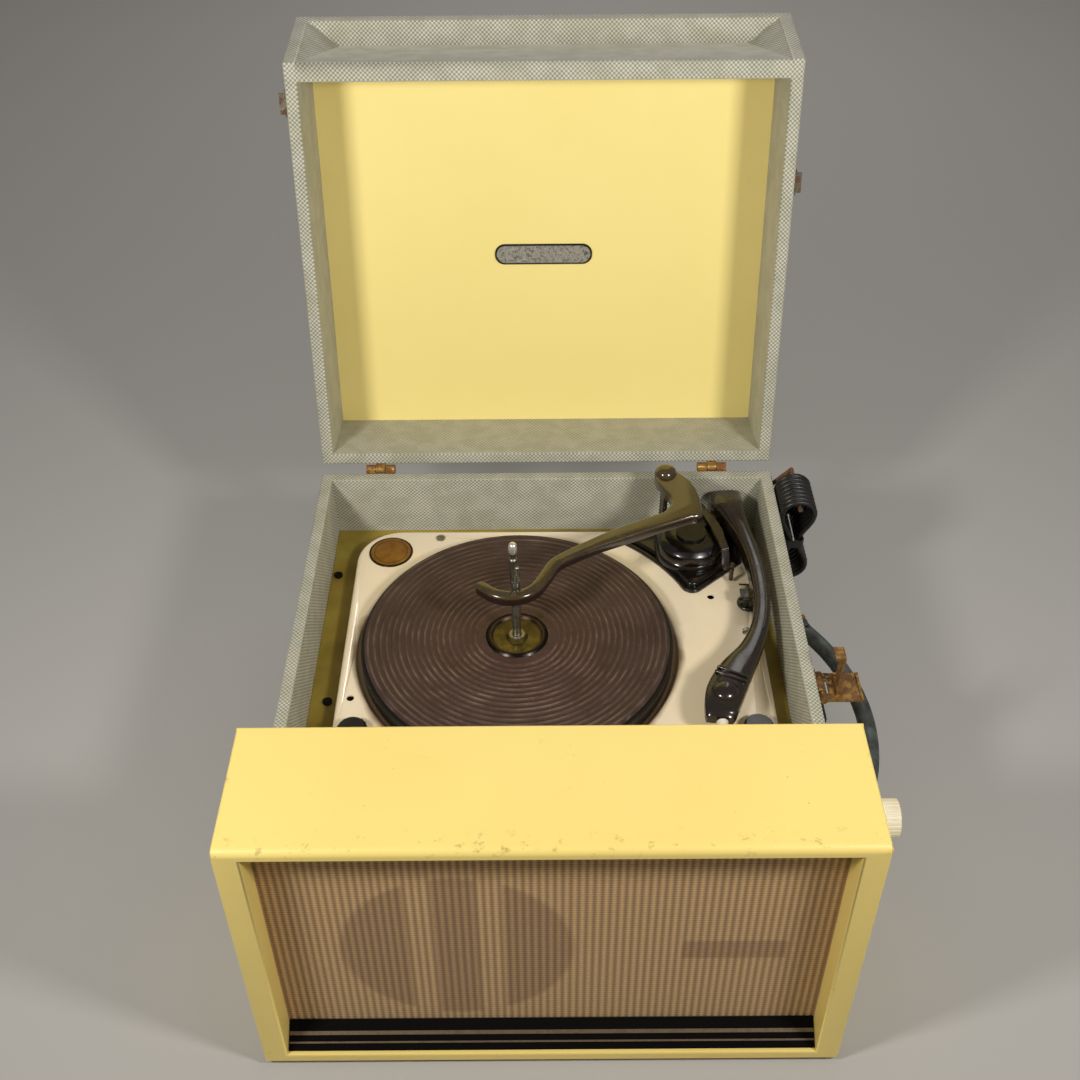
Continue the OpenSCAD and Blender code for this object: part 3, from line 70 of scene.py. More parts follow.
# The camera fitted to the photograph: place in millimetres, turns about Z, X and Z in degrees, lens
CAMERA_PLACE = (-3.67, -672.98, 875.11)
CAMERA_TURNS = (0.155, 48.494, -0.528)
CAMERA_LENS = 43.01


def linear(hex_colour):
    """An sRGB hex colour as the linear values that a shader's socket takes."""
    parts = [int(hex_colour[i:i + 2], 16) / 255 for i in (0, 2, 4)]
    return tuple(c / 12.92 if c <= 0.04045 else ((c + 0.055) / 1.055) ** 2.4 for c in parts) + (1.0,)


def colour_property(label, hex_colour, words):
    """A colour that a user can change."""
    return bpy.props.FloatVectorProperty(
        name=label, description=words, subtype="COLOR", size=4, min=0, max=1, default=linear(hex_colour))


def size_property(label, millimetres, words):
    """A length that a user can change, kept in metres."""
    return bpy.props.FloatProperty(
        name=label, description=words, unit="LENGTH", min=0, precision=5, default=millimetres * MM)


class RecordPlayerSizes(bpy.types.PropertyGroup):
    """Sizes of the dressing."""
    cloth_pitch: size_property("Cloth diamond", 3.5, "Distance between the light dots of the case cloth")
    rib_pitch: size_property("Grille rib", 5.0, "Distance between the ribs of the grille cloth")
    rib_height: size_property("Rib height", 0.5, "Height of the grille cloth's ribs")
    weft_pitch: size_property("Grille weft", 2.4, "Distance between the crossing threads of the grille cloth")
    cord_diameter: size_property("Cord diameter", 4.5, "Diameter of the mains cord")
    edge_round: size_property("Edge rounding", 1.6, "Radius of the cloth-covered edges")


class RecordPlayerColours(bpy.types.PropertyGroup):
    """Colours of the dressing."""
    cloth_light: colour_property("Cloth, light thread", "D3CCB9", "Light threads of the case cloth")
    cloth_dark: colour_property("Cloth, dark thread", "8A8D7C", "Grey-green threads of the case cloth")
    yellow: colour_property("Yellow covering", "F6DC80", "Covering of the front housing")
    lining: colour_property("Lining", "FBE793", "Board inside the lid")
    cream: colour_property("Cream enamel", "FAE8C8", "Pressed plate of the unit")
    brown: colour_property("Brown moulding", "0F0A08", "Dark brown mouldings")
    olive: colour_property("Olive moulding", "453719", "Olive-brown mouldings")
    mat: colour_property("Mat", "3C2A22", "Rubber mat")
    grille: colour_property("Grille cloth", "D6AE74", "Ribs of the grille cloth")
    floor: colour_property("Floor", "BAB7B2", "Plain floor")


# Small tools for shapes

def clear_selection():
    """Leaves edit mode and deselects everything."""
    if bpy.context.object and bpy.context.object.mode != "OBJECT":
        bpy.ops.object.mode_set(mode="OBJECT")
    bpy.ops.object.select_all(action="DESELECT")


def make_active(piece):
    """Selects one piece alone."""
    clear_selection()
    piece.select_set(True)
    bpy.context.view_layer.objects.active = piece


def settle(piece, name):
    """Names a piece and puts its place into its mesh."""
    piece.name = name
    piece.data.name = name
    make_active(piece)
    bpy.ops.object.transform_apply(location=True, rotation=True, scale=True)
    return piece


def apply_modifier(piece, kind, **settings):
    """Adds a modifier, sets it and applies it."""
    make_active(piece)
    added = piece.modifiers.new(kind.title(), kind)
    for key, value in settings.items():
        setattr(added, key, value)
    bpy.ops.object.modifier_apply(modifier=added.name)
    return piece


def edit_mesh(piece, mode="EDGE"):
    """Opens a piece's mesh for editing with nothing selected."""
    make_active(piece)
    bpy.ops.object.mode_set(mode="EDIT")
    bpy.ops.mesh.select_mode(type=mode)
    bpy.ops.mesh.select_all(action="DESELECT")
    return bmesh.from_edit_mesh(piece.data)


def leave_edit(piece):
    """Puts the edited mesh back into its piece."""
    bpy.ops.object.mode_set(mode="OBJECT")
    return piece


def outward(piece):
    """Merges doubles and turns all faces outwards."""
    edit_mesh(piece, "VERT")
    bpy.ops.mesh.select_all(action="SELECT")
    bpy.ops.mesh.remove_doubles(threshold=0.01 * MM)
    bpy.ops.mesh.normals_make_consistent(inside=False)
    return leave_edit(piece)


def smooth(piece, degrees=35):
    """Shades a piece smooth, except over edges sharper than an angle."""
    make_active(piece)
    bpy.ops.object.shade_smooth_by_angle(angle=math.radians(degrees))
    return piece


def copied(node, name):
    """A merged copy of a CAD node's mesh, as a new piece with flat faces joined up."""
    made = bpy.data.objects.new(name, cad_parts[node].data.copy())
    bpy.context.scene.collection.objects.link(made)
    made.data.name = name
    made.data.materials.clear()
    edit_mesh(made, "VERT")
    bpy.ops.mesh.select_all(action="SELECT")
    bpy.ops.mesh.remove_doubles(threshold=0.005 * MM)
    bpy.ops.mesh.dissolve_limited(angle_limit=math.radians(0.6))
    return leave_edit(made)


def split_faces(piece):
    """Splits large faces into triangles, so that rounding their edges leaves them flat."""
    edit_mesh(piece, "FACE")
    bpy.ops.mesh.select_all(action="SELECT")
    bpy.ops.mesh.quads_convert_to_tris(quad_method="BEAUTY", ngon_method="BEAUTY")
    return leave_edit(piece)


def round_edges(piece, radius, longer, segments=3, where=None, degrees=30):
    """Rounds the sharp outer edges that are longer than a length, in metres, and pass a test."""
    mesh = edit_mesh(piece)
    for edge in mesh.edges:
        sharp = edge.is_manifold and edge.is_convex and edge.calc_face_angle() > math.radians(degrees)
        edge.select_set(bool(sharp and edge.calc_length() > longer and (where is None or where(edge))))
    bmesh.update_edit_mesh(piece.data)
    bpy.ops.mesh.bevel(offset=radius, segments=segments, affect="EDGES", clamp_overlap=False)
    return leave_edit(piece)


def finished(piece, body, slot, finish=None):
    """Gives a piece its body and the finish of its slot, or another finish."""
    piece.data.materials.clear()
    piece.data.materials.append(FINISHES[finish or slot])
    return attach(piece, body)


def softened(node, name, rounding, body, slot, finish=None):
    """A finished copy of a CAD node, which stands for that node. Its sharp edges are rounded; rounding is
    a radius, the length in metres beyond which an edge counts, and perhaps a number of segments."""
    made = smooth(round_edges(copied(node, name), *rounding))
    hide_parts(node)
    return finished(made, body, slot, finish)


def box_mapped(piece, turned=None):
    """Lays a UV map in metres over each face from the side that it looks to."""
    turn = turned or Matrix.Identity(4)
    mesh = bmesh.new()
    mesh.from_mesh(piece.data)
    layer = mesh.loops.layers.uv.new("Cloth")
    mesh.normal_update()
    for face in mesh.faces:
        facing = turn.to_3x3() @ face.normal
        axis = max(range(3), key=lambda i: abs(facing[i]))
        for loop in face.loops:
            p = turn @ loop.vert.co
            loop[layer].uv = ((p.y, p.z), (p.x, p.z), (p.x, p.y))[axis]
    mesh.to_mesh(piece.data)
    mesh.free()
    return piece


def catmull(points, steps):
    """A smooth row of points through the given ones."""
    rows = [Vector(p) for p in points]
    made = []
    for i in range(len(rows) - 1):
        a, b, c, d = rows[max(i - 1, 0)], rows[i], rows[i + 1], rows[min(i + 2, len(rows) - 1)]
        for k in range(steps):
            t = k / steps
            made.append(0.5 * (2 * b + (c - a) * t + (2 * a - 5 * b + 4 * c - d) * t * t
                               + (3 * b - a - 3 * c + d) * t ** 3))
    return made + [rows[-1]]


def value_at(rows, x):
    """Straight-line reading of a list of (x, value) rows, in rising x."""
    if x <= rows[0][0]:
        return rows[0][1]
    for (x0, v0), (x1, v1) in zip(rows, rows[1:]):
        if x <= x1:
            return v0 + (v1 - v0) * (x - x0) / (x1 - x0)
    return rows[-1][1]


def poly_line(name, points, cyclic=False):
    """A curve object of straight stretches through points."""
    data = bpy.data.curves.new(name, "CURVE")
    data.dimensions = "3D"
    spline = data.splines.new("POLY")
    spline.points.add(len(points) - 1)
    for point, place in zip(spline.points, points):
        point.co = (*place, 1)
    spline.use_cyclic_u = cyclic
    made = bpy.data.objects.new(name, data)
    bpy.context.scene.collection.objects.link(made)
    return made


def lofted(name, stations, corner):
    """A straight bar along X with rounded upper corners, extruded ring by ring; stations are
    (x, width, bottom, top) in metres, and the corner is a share of the first ring."""
    clear_selection()
    bpy.ops.mesh.primitive_plane_add(size=1, rotation=(0, math.radians(90), 0))
    bar = settle(bpy.context.object, name)
    mesh = edit_mesh(bar, "VERT")
    for vert in mesh.verts:
        vert.select_set(vert.co.z > 0)
    bmesh.update_edit_mesh(bar.data)
    bpy.ops.mesh.bevel(offset=corner, segments=4, affect="VERTICES")
    bpy.ops.mesh.select_all(action="SELECT")
    x, width, low, high = stations[0]
    bpy.ops.transform.resize(value=(1, width, high - low), center_override=(0, 0, 0))
    bpy.ops.transform.translate(value=(x, 0, (low + high) / 2))
    for (x0, w0, l0, h0), (x1, w1, l1, h1) in zip(stations, stations[1:]):
        middle = (l1 + h1) / 2
        step = (x1 - x0, 0, middle - (l0 + h0) / 2)
        bpy.ops.mesh.extrude_region_move(TRANSFORM_OT_translate={"value": step})
        bpy.ops.transform.resize(
            value=(1, w1 / w0, (h1 - l1) / (h0 - l0)), center_override=(x1, 0, middle))
    leave_edit(bar)
    return outward(bar)


def bent(bar, points):
    """Bends a straight bar along a row of points."""
    line = poly_line(bar.name + "_line", points)
    apply_modifier(bar, "CURVE", object=line, deform_axis="POS_X")
    bpy.data.objects.remove(line)
    return bar


def lengths_along(points):
    """Distance of each point from the first, along their row."""
    total = [0.0]
    for a, b in zip(points, points[1:]):
        total.append(total[-1] + (b - a).length)
    return total


def turned_solid(name, profile, place, sides):
    """A closed solid spun about a vertical line from (radius, height) points in millimetres."""
    clear_selection()
    bpy.ops.mesh.primitive_circle_add(vertices=sides, radius=profile[0][0] * MM,
                                      location=(0, 0, profile[0][1] * MM))
    made = settle(bpy.context.object, name)
    edit_mesh(made)
    bpy.ops.mesh.select_all(action="SELECT")
    for (r0, z0), (r1, z1) in zip(profile, profile[1:]):
        bpy.ops.mesh.extrude_region_move(TRANSFORM_OT_translate={"value": (0, 0, (z1 - z0) * MM)})
        bpy.ops.transform.resize(value=(r1 / r0, r1 / r0, 1), center_override=(0, 0, z1 * MM))
    leave_edit(made)
    made.location = Vector(place) * MM
    settle(made, name)
    mesh = edit_mesh(made)
    for edge in mesh.edges:
        edge.select_set(edge.is_boundary)
    bmesh.update_edit_mesh(made.data)
    bpy.ops.mesh.edge_face_add()
    leave_edit(made)
    return outward(made)


def combined(way, piece, *others):
    """Unites closed shapes with the first one, or takes them out of it."""
    for other in others:
        apply_modifier(piece, "BOOLEAN", operation=way, object=other, solver="EXACT")
        bpy.data.objects.remove(other)
    return piece


# Small tools for finishes

def add_node(tree, kind, inputs=(), output=0, **settings):
    """Adds a node and gives back one of its outputs. Its inputs are listed in order, or named in a dict,
    and each takes a value or the socket that feeds it."""
    made = tree.nodes.new("ShaderNode" + kind)
    for key, value in settings.items():
        setattr(made, key, value)
    for key, value in (inputs.items() if isinstance(inputs, dict) else enumerate(inputs)):
        if isinstance(value, bpy.types.NodeSocket):
            tree.links.new(value, made.inputs[key])
        else:
            made.inputs[key].default_value = value
    return made.outputs[output]


def new_finish(name, rough, metal=0.0, **more):
    """An empty finish, its tree and the place that its patterns read."""
    made = bpy.data.materials.new(name)
    made.use_nodes = True
    shader = made.node_tree.nodes["Principled BSDF"]
    for key, value in {"Roughness": rough, "Metallic": metal, **more}.items():
        shader.inputs[key.replace("_", " ")].default_value = value
    return made, made.node_tree, add_node(made.node_tree, "TexCoord", output="Object")


def surface(made, colour=None, rough=None, metal=None, height=None, relief=0.0, strength=1.0):
    """Feeds a finish's shader: colour, gloss and metal as ranges, and a bump of a height in millimetres."""
    tree = made.node_tree
    fed = {"Base Color": colour}
    for name, rows in (("Roughness", rough), ("Metallic", metal)):
        fed[name] = add_node(tree, "MapRange", rows) if rows else None
    if height:
        if isinstance(height, tuple):
            height = add_node(tree, "TexNoise", blotches(*height))
        fed["Normal"] = add_node(tree, "Bump", {
            "Height": height, "Distance": relief * MM, "Strength": strength})
    for name, socket in fed.items():
        if socket:
            tree.links.new(socket, tree.nodes["Principled BSDF"].inputs[name])
    return made


def painted(tree, base, *coats):
    """Lays coats of colour over a base; a coat is a mask, a colour and perhaps a way of blending."""
    for mask, colour, *way in coats:
        first, second = (linear(c) if isinstance(c, str) else c for c in (base, colour))
        base = add_node(tree, "Mix", {0: mask, 6: first, 7: second}, 2,
                        data_type="RGBA", blend_type=way[0] if way else "MIX")
    return base


def blotches(where, millimetres, detail=3.0, rough=0.55):
    """Inputs of a noise whose blotches have a real size."""
    return {"Vector": where, "Scale": 1000 / millimetres, "Detail": detail, "Roughness": rough}


def clouds(tree, spots, low, high, to_low=0.0, to_high=1.0):
    """A cloudy mask from blotches, stretched from one range to another."""
    grey = add_node(tree, "TexNoise", blotches(*spots))
    return add_node(tree, "MapRange", [grey, low, high, to_low, to_high])


def waves(tree, value, pitch, shift=0.0):
    """Waves from -1 to 1 along a length, one to each pitch."""
    turn = add_node(tree, "Math", [value, 2 * math.pi / pitch, shift], operation="MULTIPLY_ADD")
    return add_node(tree, "Math", [turn], operation="COSINE")


def band(tree, value, centre, full, none, inside=1.0, outside=0.0):
    """A mask with one level near a value and another away from it."""
    off = add_node(tree, "Math", [value, centre], operation="SUBTRACT")
    off = add_node(tree, "Math", [off], operation="ABSOLUTE")
    return add_node(tree, "MapRange", [off, full, none, inside, outside])


def reach_from(tree, where, centre, across=(1, 1, 0)):
    """Distance in metres from a line through a place; across has a nought for the line's own axis."""
    back = [-c * a for c, a in zip(centre, across)]
    centred = add_node(tree, "Mapping", {"Vector": where, "Location": back, "Scale": across})
    return add_node(tree, "VectorMath", [centred], "Value", operation="LENGTH"), centred


def turntable_reach(tree, where):
    """Distance from the spindle, and the place as seen from it."""
    return reach_from(tree, where, (PLATTER[0] * MM, PLATTER[1] * MM, 0))


def plain_finish(name, light, dark, rough, metal=0.0, blotch=25.0, grain=0.6, relief=0.02, **more):
    """A finish with cloudy colour between two, fine grain in its gloss and a little relief."""
    made, tree, where = new_finish(name, rough, metal, **more)
    cloud = clouds(tree, (where, blotch, 4.0), 0.35, 0.65)
    fine = add_node(tree, "TexNoise", blotches(where, grain, 2.0))
    both = add_node(tree, "Math", [cloud, fine], operation="ADD")
    gloss = [both, 0.4, 1.6, max(rough - GLOSS_SPREAD, 0.02), min(rough + GLOSS_SPREAD, 1.0)]
    return surface(made, painted(tree, light, (cloud, dark)), gloss, height=fine, relief=relief)


def case_cloth():
    """Coated book cloth woven in a light and grey-green basket, seen as small diamonds of light dots."""
    colours, sizes = bpy.context.scene.player_colours, bpy.context.scene.player_sizes
    made, tree, where = new_finish("woven_case_cloth", 0.72, Sheen_Weight=0.12)
    laid = add_node(tree, "UVMap", output="UV", uv_map="Cloth")
    wobble = add_node(tree, "TexNoise", blotches(laid, 6, 2.0))
    wobble = add_node(tree, "Math", [wobble, 1.2], operation="MULTIPLY")
    threads = [waves(tree, add_node(tree, "SeparateXYZ", [laid], axis), sizes.cloth_pitch, wobble)
               for axis in ("X", "Y")]
    basket = add_node(tree, "Math", threads, operation="MULTIPLY")
    colour = painted(
        tree, colours.cloth_dark,
        (add_node(tree, "MapRange", [basket, -0.45, 0.5]), colours.cloth_light),
        (clouds(tree, (where, 60, 5.0, 0.6), 0.5, 0.8, 0.0, 0.35), "A69B7E"),
        (clouds(tree, (where, 18, 2.0), 0.4, 0.6, 0.0, 0.3), "C3C9B8", "MULTIPLY"))
    return surface(made, colour, height=basket, relief=0.12, strength=0.7)


# Where the yellow covering wears, in metres: its front brow's height and depth, its corners' height and side
BROW_Z, BROW_Y, CORNER_Z, CORNER_X = (0.234, 0.240), (-0.2215, -0.213), (0.225, 0.238), (0.1965, 0.1995)


def yellow_cloth():
    """Smooth coated cloth in soft yellow: a fine pebble, grey rubbed marks, and wear along its front brow."""
    made, tree, where = new_finish("yellow_coated_cloth", 0.42, Coat_Weight=0.08, Coat_Roughness=0.3)
    x, y, z = add_node(tree, "SeparateXYZ", [where]).node.outputs
    marks = clouds(tree, (where, 22, 6.0, 0.7), 0.66, 0.76, 0.0, 0.28)
    brow = add_node(tree, "Math", [add_node(tree, "MapRange", [z, *BROW_Z]),
                                   add_node(tree, "MapRange", [y, *BROW_Y, 1.0, 0.0])], operation="MULTIPLY")
    corner = add_node(tree, "Math", [add_node(tree, "MapRange", [z, *CORNER_Z]),
                                     band(tree, x, 0.0, *CORNER_X, 0.0, 1.0)], operation="MULTIPLY")
    edge = add_node(tree, "Math", [brow, corner], operation="MAXIMUM")
    worn = add_node(tree, "Math", [edge, clouds(tree, (where, 9, 6.0, 0.75), 0.57, 0.66, 0.0, 0.55)],
                    operation="MULTIPLY")
    colour = painted(
        tree, bpy.context.scene.player_colours.yellow,
        (clouds(tree, (where, 90, 4.0), 0.3, 0.7, 0.0, 0.35), "EDD073"), (marks, "A79862"), (worn, "8A7238"),
        (clouds(tree, (where, 3.2, 2.0), 0.74, 0.8, 0.0, 0.5), "8E7D48"))
    pebble = add_node(tree, "TexNoise", blotches(where, 0.9, 2.0))
    both = add_node(tree, "Math", [marks, pebble], operation="ADD")
    return surface(made, colour, [both, 0.3, 1.0, 0.36, 0.52], height=pebble, relief=0.03)


def lining_board():
    """Yellow paper-faced board with faint scratches."""
    made, tree, where = new_finish("yellow_lining_board", 0.5)
    stretched = add_node(tree, "Mapping", {"Vector": where, "Scale": (1.0, 0.25, 0.25)})
    colour = painted(
        tree, bpy.context.scene.player_colours.lining,
        (clouds(tree, (where, 120, 3.0), 0.35, 0.65, 0.0, 0.3), "F6DF82"),
        (clouds(tree, (stretched, 4, 5.0, 0.7), 0.72, 0.8, 0.0, 0.22), "9C8C4C"))
    return surface(made, colour, height=(where, 1.4, 2.0), relief=0.02)


# The baffle's cut-outs behind the grille, in metres: their middles, and where each edge's shadow fades
SPEAKER, SPEAKER_EDGE = (-0.062, 0, 0.110), (0.0745, 0.0790)
BAR_OFF, BAR_EDGE = 0.023, (0.0070, 0.0100)
SLOT, SLOT_ENDS, SLOT_EDGE = (0.121, 0, 0.1075), (0.0330, 0.0360), (0.0085, 0.0115)


def ribbed_grille():
    """Ribbed loudspeaker cloth, with painted shade in the grooves between its ribs and where the baffle
    behind it is cut through.
    """
    colours, sizes = bpy.context.scene.player_colours, bpy.context.scene.player_sizes
    made, tree, where = new_finish("ribbed_grille_cloth", 0.85, Sheen_Weight=0.2)
    x, _, z = add_node(tree, "SeparateXYZ", [where]).node.outputs
    rib, weft = waves(tree, x, sizes.rib_pitch), waves(tree, z, sizes.weft_pitch)
    # Darker between the ribs: painted shade in the grooves, crossed by the weft's real threads
    rib_shade_and_weft = add_node(tree, "Math", [weft, 0.6, rib], operation="MULTIPLY_ADD")
    fuzz = clouds(tree, (where, 1.6, 3.0), 0.35, 0.7, 0.0, 0.35)
    # Painted shade where the baffle behind is cut through: a round opening crossed by two bars, and a slot
    reach, centred = reach_from(tree, where, SPEAKER, (1, 0, 1))
    aside = add_node(tree, "Math", [add_node(tree, "SeparateXYZ", [centred], "X")], operation="ABSOLUTE")
    opening = add_node(tree, "Math", [add_node(tree, "MapRange", [reach, *SPEAKER_EDGE, 1.0, 0.0]),
                                      band(tree, aside, BAR_OFF, *BAR_EDGE, 0.0, 1.0)], operation="MULTIPLY")
    slot = add_node(tree, "Math", [band(tree, x, SLOT[0], *SLOT_ENDS), band(tree, z, SLOT[2], *SLOT_EDGE)],
                    operation="MULTIPLY")
    cut_out_shade = add_node(tree, "Math", [opening, slot], operation="MAXIMUM")
    colour = painted(
        tree, "84602F", (add_node(tree, "MapRange", [rib_shade_and_weft, -1.2, 1.1]), colours.grille), (fuzz, "9A7A4E"),
        (add_node(tree, "Math", [cut_out_shade, 0.75], operation="MULTIPLY"), "CABFAE", "MULTIPLY"))
    fibres = add_node(tree, "Math", [weft, fuzz], operation="ADD")
    return surface(made, colour, height=fibres, relief=0.12, strength=0.8)


# The mat in metres: the ribs' pitch and first crest, the end of its bare middle, and a dust stroke's run
MAT_PITCH, MAT_FIRST, MAT_BARE = 0.00509, 0.034, (0.030, 0.034)
STROKE = 0.014


def mat_rubber():
    """Old brown rubber, redder towards the middle, with dust lying in strokes along its ribs."""
    made, tree, where = new_finish("brown_mat_rubber", 0.55)
    reach, centred = turntable_reach(tree, where)
    cloud = add_node(tree, "TexNoise", blotches(where, 35, 5.0, 0.65))
    crest = waves(tree, reach, MAT_PITCH, -2 * math.pi * MAT_FIRST / MAT_PITCH)
    # Strokes that run round the mat: long beside the ribs, short across them
    heading = add_node(tree, "VectorMath", [centred], operation="NORMALIZE")
    outwards = add_node(tree, "CombineXYZ", {"Z": reach})
    around = add_node(tree, "VectorMath", [heading, (STROKE,) * 3, outwards], operation="MULTIPLY_ADD")
    dust = clouds(tree, (around, 2.2, 4.0, 0.65), 0.38, 0.62, 0.1, 1.0)
    for layer in (clouds(tree, (where, 26, 4.0), 0.38, 0.62, 0.25, 1.0),
                  add_node(tree, "MapRange", [crest, 0.1, 1.0]),
                  add_node(tree, "MapRange", [reach, *MAT_BARE, 0.0, 0.8])):
        dust = add_node(tree, "Math", [dust, layer], operation="MULTIPLY")
    colour = painted(
        tree, bpy.context.scene.player_colours.mat,
        (add_node(tree, "MapRange", [reach, 0.03, 0.11, 0.6, 0.0]), "472A21"),
        (add_node(tree, "MapRange", [cloud, 0.4, 0.75, 0.0, 0.5]), "574136"), (dust, "836A5A"),
        (clouds(tree, (where, 1.8, 3.0), 0.62, 0.74, 0.0, 0.35), "7E6B60"))
    return surface(made, colour, [cloud, 0.3, 0.7, 0.42, 0.68], height=(where, 0.8, 2.0), relief=0.05)


def moulding(name, base, streak, rough=0.22, spread=0.2, coat=0.25, side=None):
    """Pressed phenolic moulding: dark, glossy and faintly mottled, with a few dull handled patches.
    Side is an axis, the two places between which the colour turns, and the colour before them; on the
    steadying arm that colour is painted shade on its sides below the top."""
    made, tree, where = new_finish(name, rough, Coat_Weight=coat, Coat_Roughness=0.12)
    stretched = add_node(tree, "Mapping", {"Vector": where, "Scale": (1.0, 0.4, 1.0)})
    colour = painted(tree, base, (clouds(tree, (stretched, 9, 5.0, 0.7), 0.4, 0.7), streak))
    if side:
        axis, start, end, tone_or_shade_before = side
        turning = add_node(tree, "MapRange", [add_node(tree, "SeparateXYZ", [where], axis), start, end])
        colour = painted(tree, tone_or_shade_before, (turning, colour))
    handled = add_node(tree, "TexNoise", blotches(where, 16, 3.0))
    return surface(made, colour, [handled, 0.45, 0.65, rough, rough + spread], height=(where, 1.2, 2.0),
                   relief=0.015)


# Distances from the spindle, in metres, over which the painted shade round the well thins out
WELL_SHADE_EDGE = (0.1295, 0.1350)


def enamel():
    """Cream stove enamel on pressed steel: smooth and glossy, chipped to brown, with painted shade and
    painted reflection of the dark turntable round the well.
    """
    made, tree, where = new_finish("cream_stove_enamel", 0.24, Coat_Weight=0.4, Coat_Roughness=0.08)
    cloud = clouds(tree, (where, 70, 3.0), 0.35, 0.65, 0.0, 0.4)
    reach, _ = turntable_reach(tree, where)
    # Painted shade round the well: a brown ring of uneven width, standing in for the shade and the
    # turntable's reflection there
    well_shade_reach = add_node(tree, "Math", [reach, clouds(tree, (where, 60, 3.0), 0.4, 0.65, 0.0, 0.004)],
                         operation="SUBTRACT")
    colour = painted(
        tree, bpy.context.scene.player_colours.cream, (cloud, "F2DCB4"),
        (add_node(tree, "MapRange", [well_shade_reach, *WELL_SHADE_EDGE, 0.85, 0.0]), "6A4A26"),
        (clouds(tree, (where, 5, 4.0, 0.7), 0.76, 0.8, 0.0, 0.7), "6C5230"))
    return surface(made, colour, [cloud, 0.0, 0.4, 0.2, 0.34], height=(where, 12, 2.0), relief=0.05)


def rusted(name, metal, rust, share=0.5):
    """Plated steel that has rusted through in patches."""
    made, tree, where = new_finish(name, 0.45)
    patch = clouds(tree, (where, 7, 5.0, 0.7), 0.55 - share * 0.3, 0.65 - share * 0.25)
    pits = add_node(tree, "TexNoise", blotches(where, 0.7, 3.0))
    deep = painted(tree, rust, (add_node(tree, "MapRange", [pits, 0.4, 0.7]), "5A3220"))
    pitted = add_node(tree, "Math", [patch, pits], operation="MULTIPLY")
    return surface(made, painted(tree, metal, (patch, deep)), [patch, 0.0, 1.0, 0.32, 0.82],
                   [patch, 0.0, 1.0, 0.85, 0.0], pitted, 0.12)


# The badge's dark rim and fine ring, and the hub's sleeve, rim and dark edge, as distances in metres
BADGE_RIM, BADGE_RING, RING_EDGE = (0.0172, 0.0178), 0.0145, (0.0003, 0.0006)
HUB_SLEEVE, HUB_RIM, HUB_DARK = (0.0058, 0.0066), (0.0185, 0.0195), (0.0215, 0.0225)


def badge_finish():
    """Amber lacquer on brass with a dark rim and a fine ring inside, left without words."""
    made, tree, where = new_finish("amber_badge_lacquer", 0.3, 0.6, Coat_Weight=0.4)
    low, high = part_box("badge_disc")
    reach, _ = reach_from(tree, where, (low + high) / 2)
    lines = add_node(tree, "Math", [add_node(tree, "MapRange", [reach, *BADGE_RIM]),
                                    band(tree, reach, BADGE_RING, *RING_EDGE, 0.6)], operation="MAXIMUM")
    return surface(made, painted(
        tree, "A0701F", (clouds(tree, (where, 9, 5.0, 0.7), 0.35, 0.7), "7C4C16"), (lines, "221808")))


def hub_finish():
    """Tarnished brass hub: worn sleeve, olive dish, and a rolled rim that turns from brown to black."""
    made, tree, where = new_finish("tarnished_hub_brass", 0.3, 0.7)
    reach, _ = turntable_reach(tree, where)
    cloud = clouds(tree, (where, 7, 4.0), 0.35, 0.65)
    colour = painted(
        tree, "6B5C2E", (cloud, "54481F"), (add_node(tree, "MapRange", [reach, *HUB_RIM]), "4A3A2A"),
        (add_node(tree, "MapRange", [reach, *HUB_DARK]), "17110C"),
        (add_node(tree, "MapRange", [reach, *HUB_SLEEVE, 1.0, 0.0]), "9A9182"))
    return surface(made, colour, [cloud, 0.0, 1.0, 0.22, 0.36], height=(where, 2.0, 2.0), relief=0.03)


# In metres: X of the plate's left edge, which parts the screws, and the height where the spindle's cap begins
PLATE_EDGE, CAP_EDGE = (-0.1685, -0.1680), (0.2125, 0.2135)


def screw_finish():
    """Nickel screws in the unit plate and blackened ones beside it in the board."""
    made, tree, where = new_finish("nickel_and_black_screws", 0.3, 0.85)
    cloud = clouds(tree, (where, 2, 4.0), 0.35, 0.65)
    x = add_node(tree, "SeparateXYZ", [where], "X")
    in_plate = add_node(tree, "MapRange", [x, *PLATE_EDGE])
    colour = painted(tree, "1C1813", (in_plate, painted(tree, "B9B4A6", (cloud, "857E70"))))
    return surface(made, colour, [cloud, 0.0, 1.0, 0.22, 0.4], height=cloud, relief=0.03)


def spindle_finish():
    """Worn grey-green spindle steel with a bright rubbed cap."""
    made, tree, where = new_finish("worn_spindle_steel", 0.34, 0.85)
    cloud = clouds(tree, (where, 5, 4.0), 0.35, 0.65)
    z = add_node(tree, "SeparateXYZ", [where], "Z")
    cap = add_node(tree, "MapRange", [z, *CAP_EDGE])
    colour = painted(tree, "9C988A", (cloud, "6E6B5E"), (cap, "F4F1EB"))
    return surface(made, colour, [cloud, 0.0, 1.0, 0.26, 0.42], height=(where, 0.8, 2.0), relief=0.02)


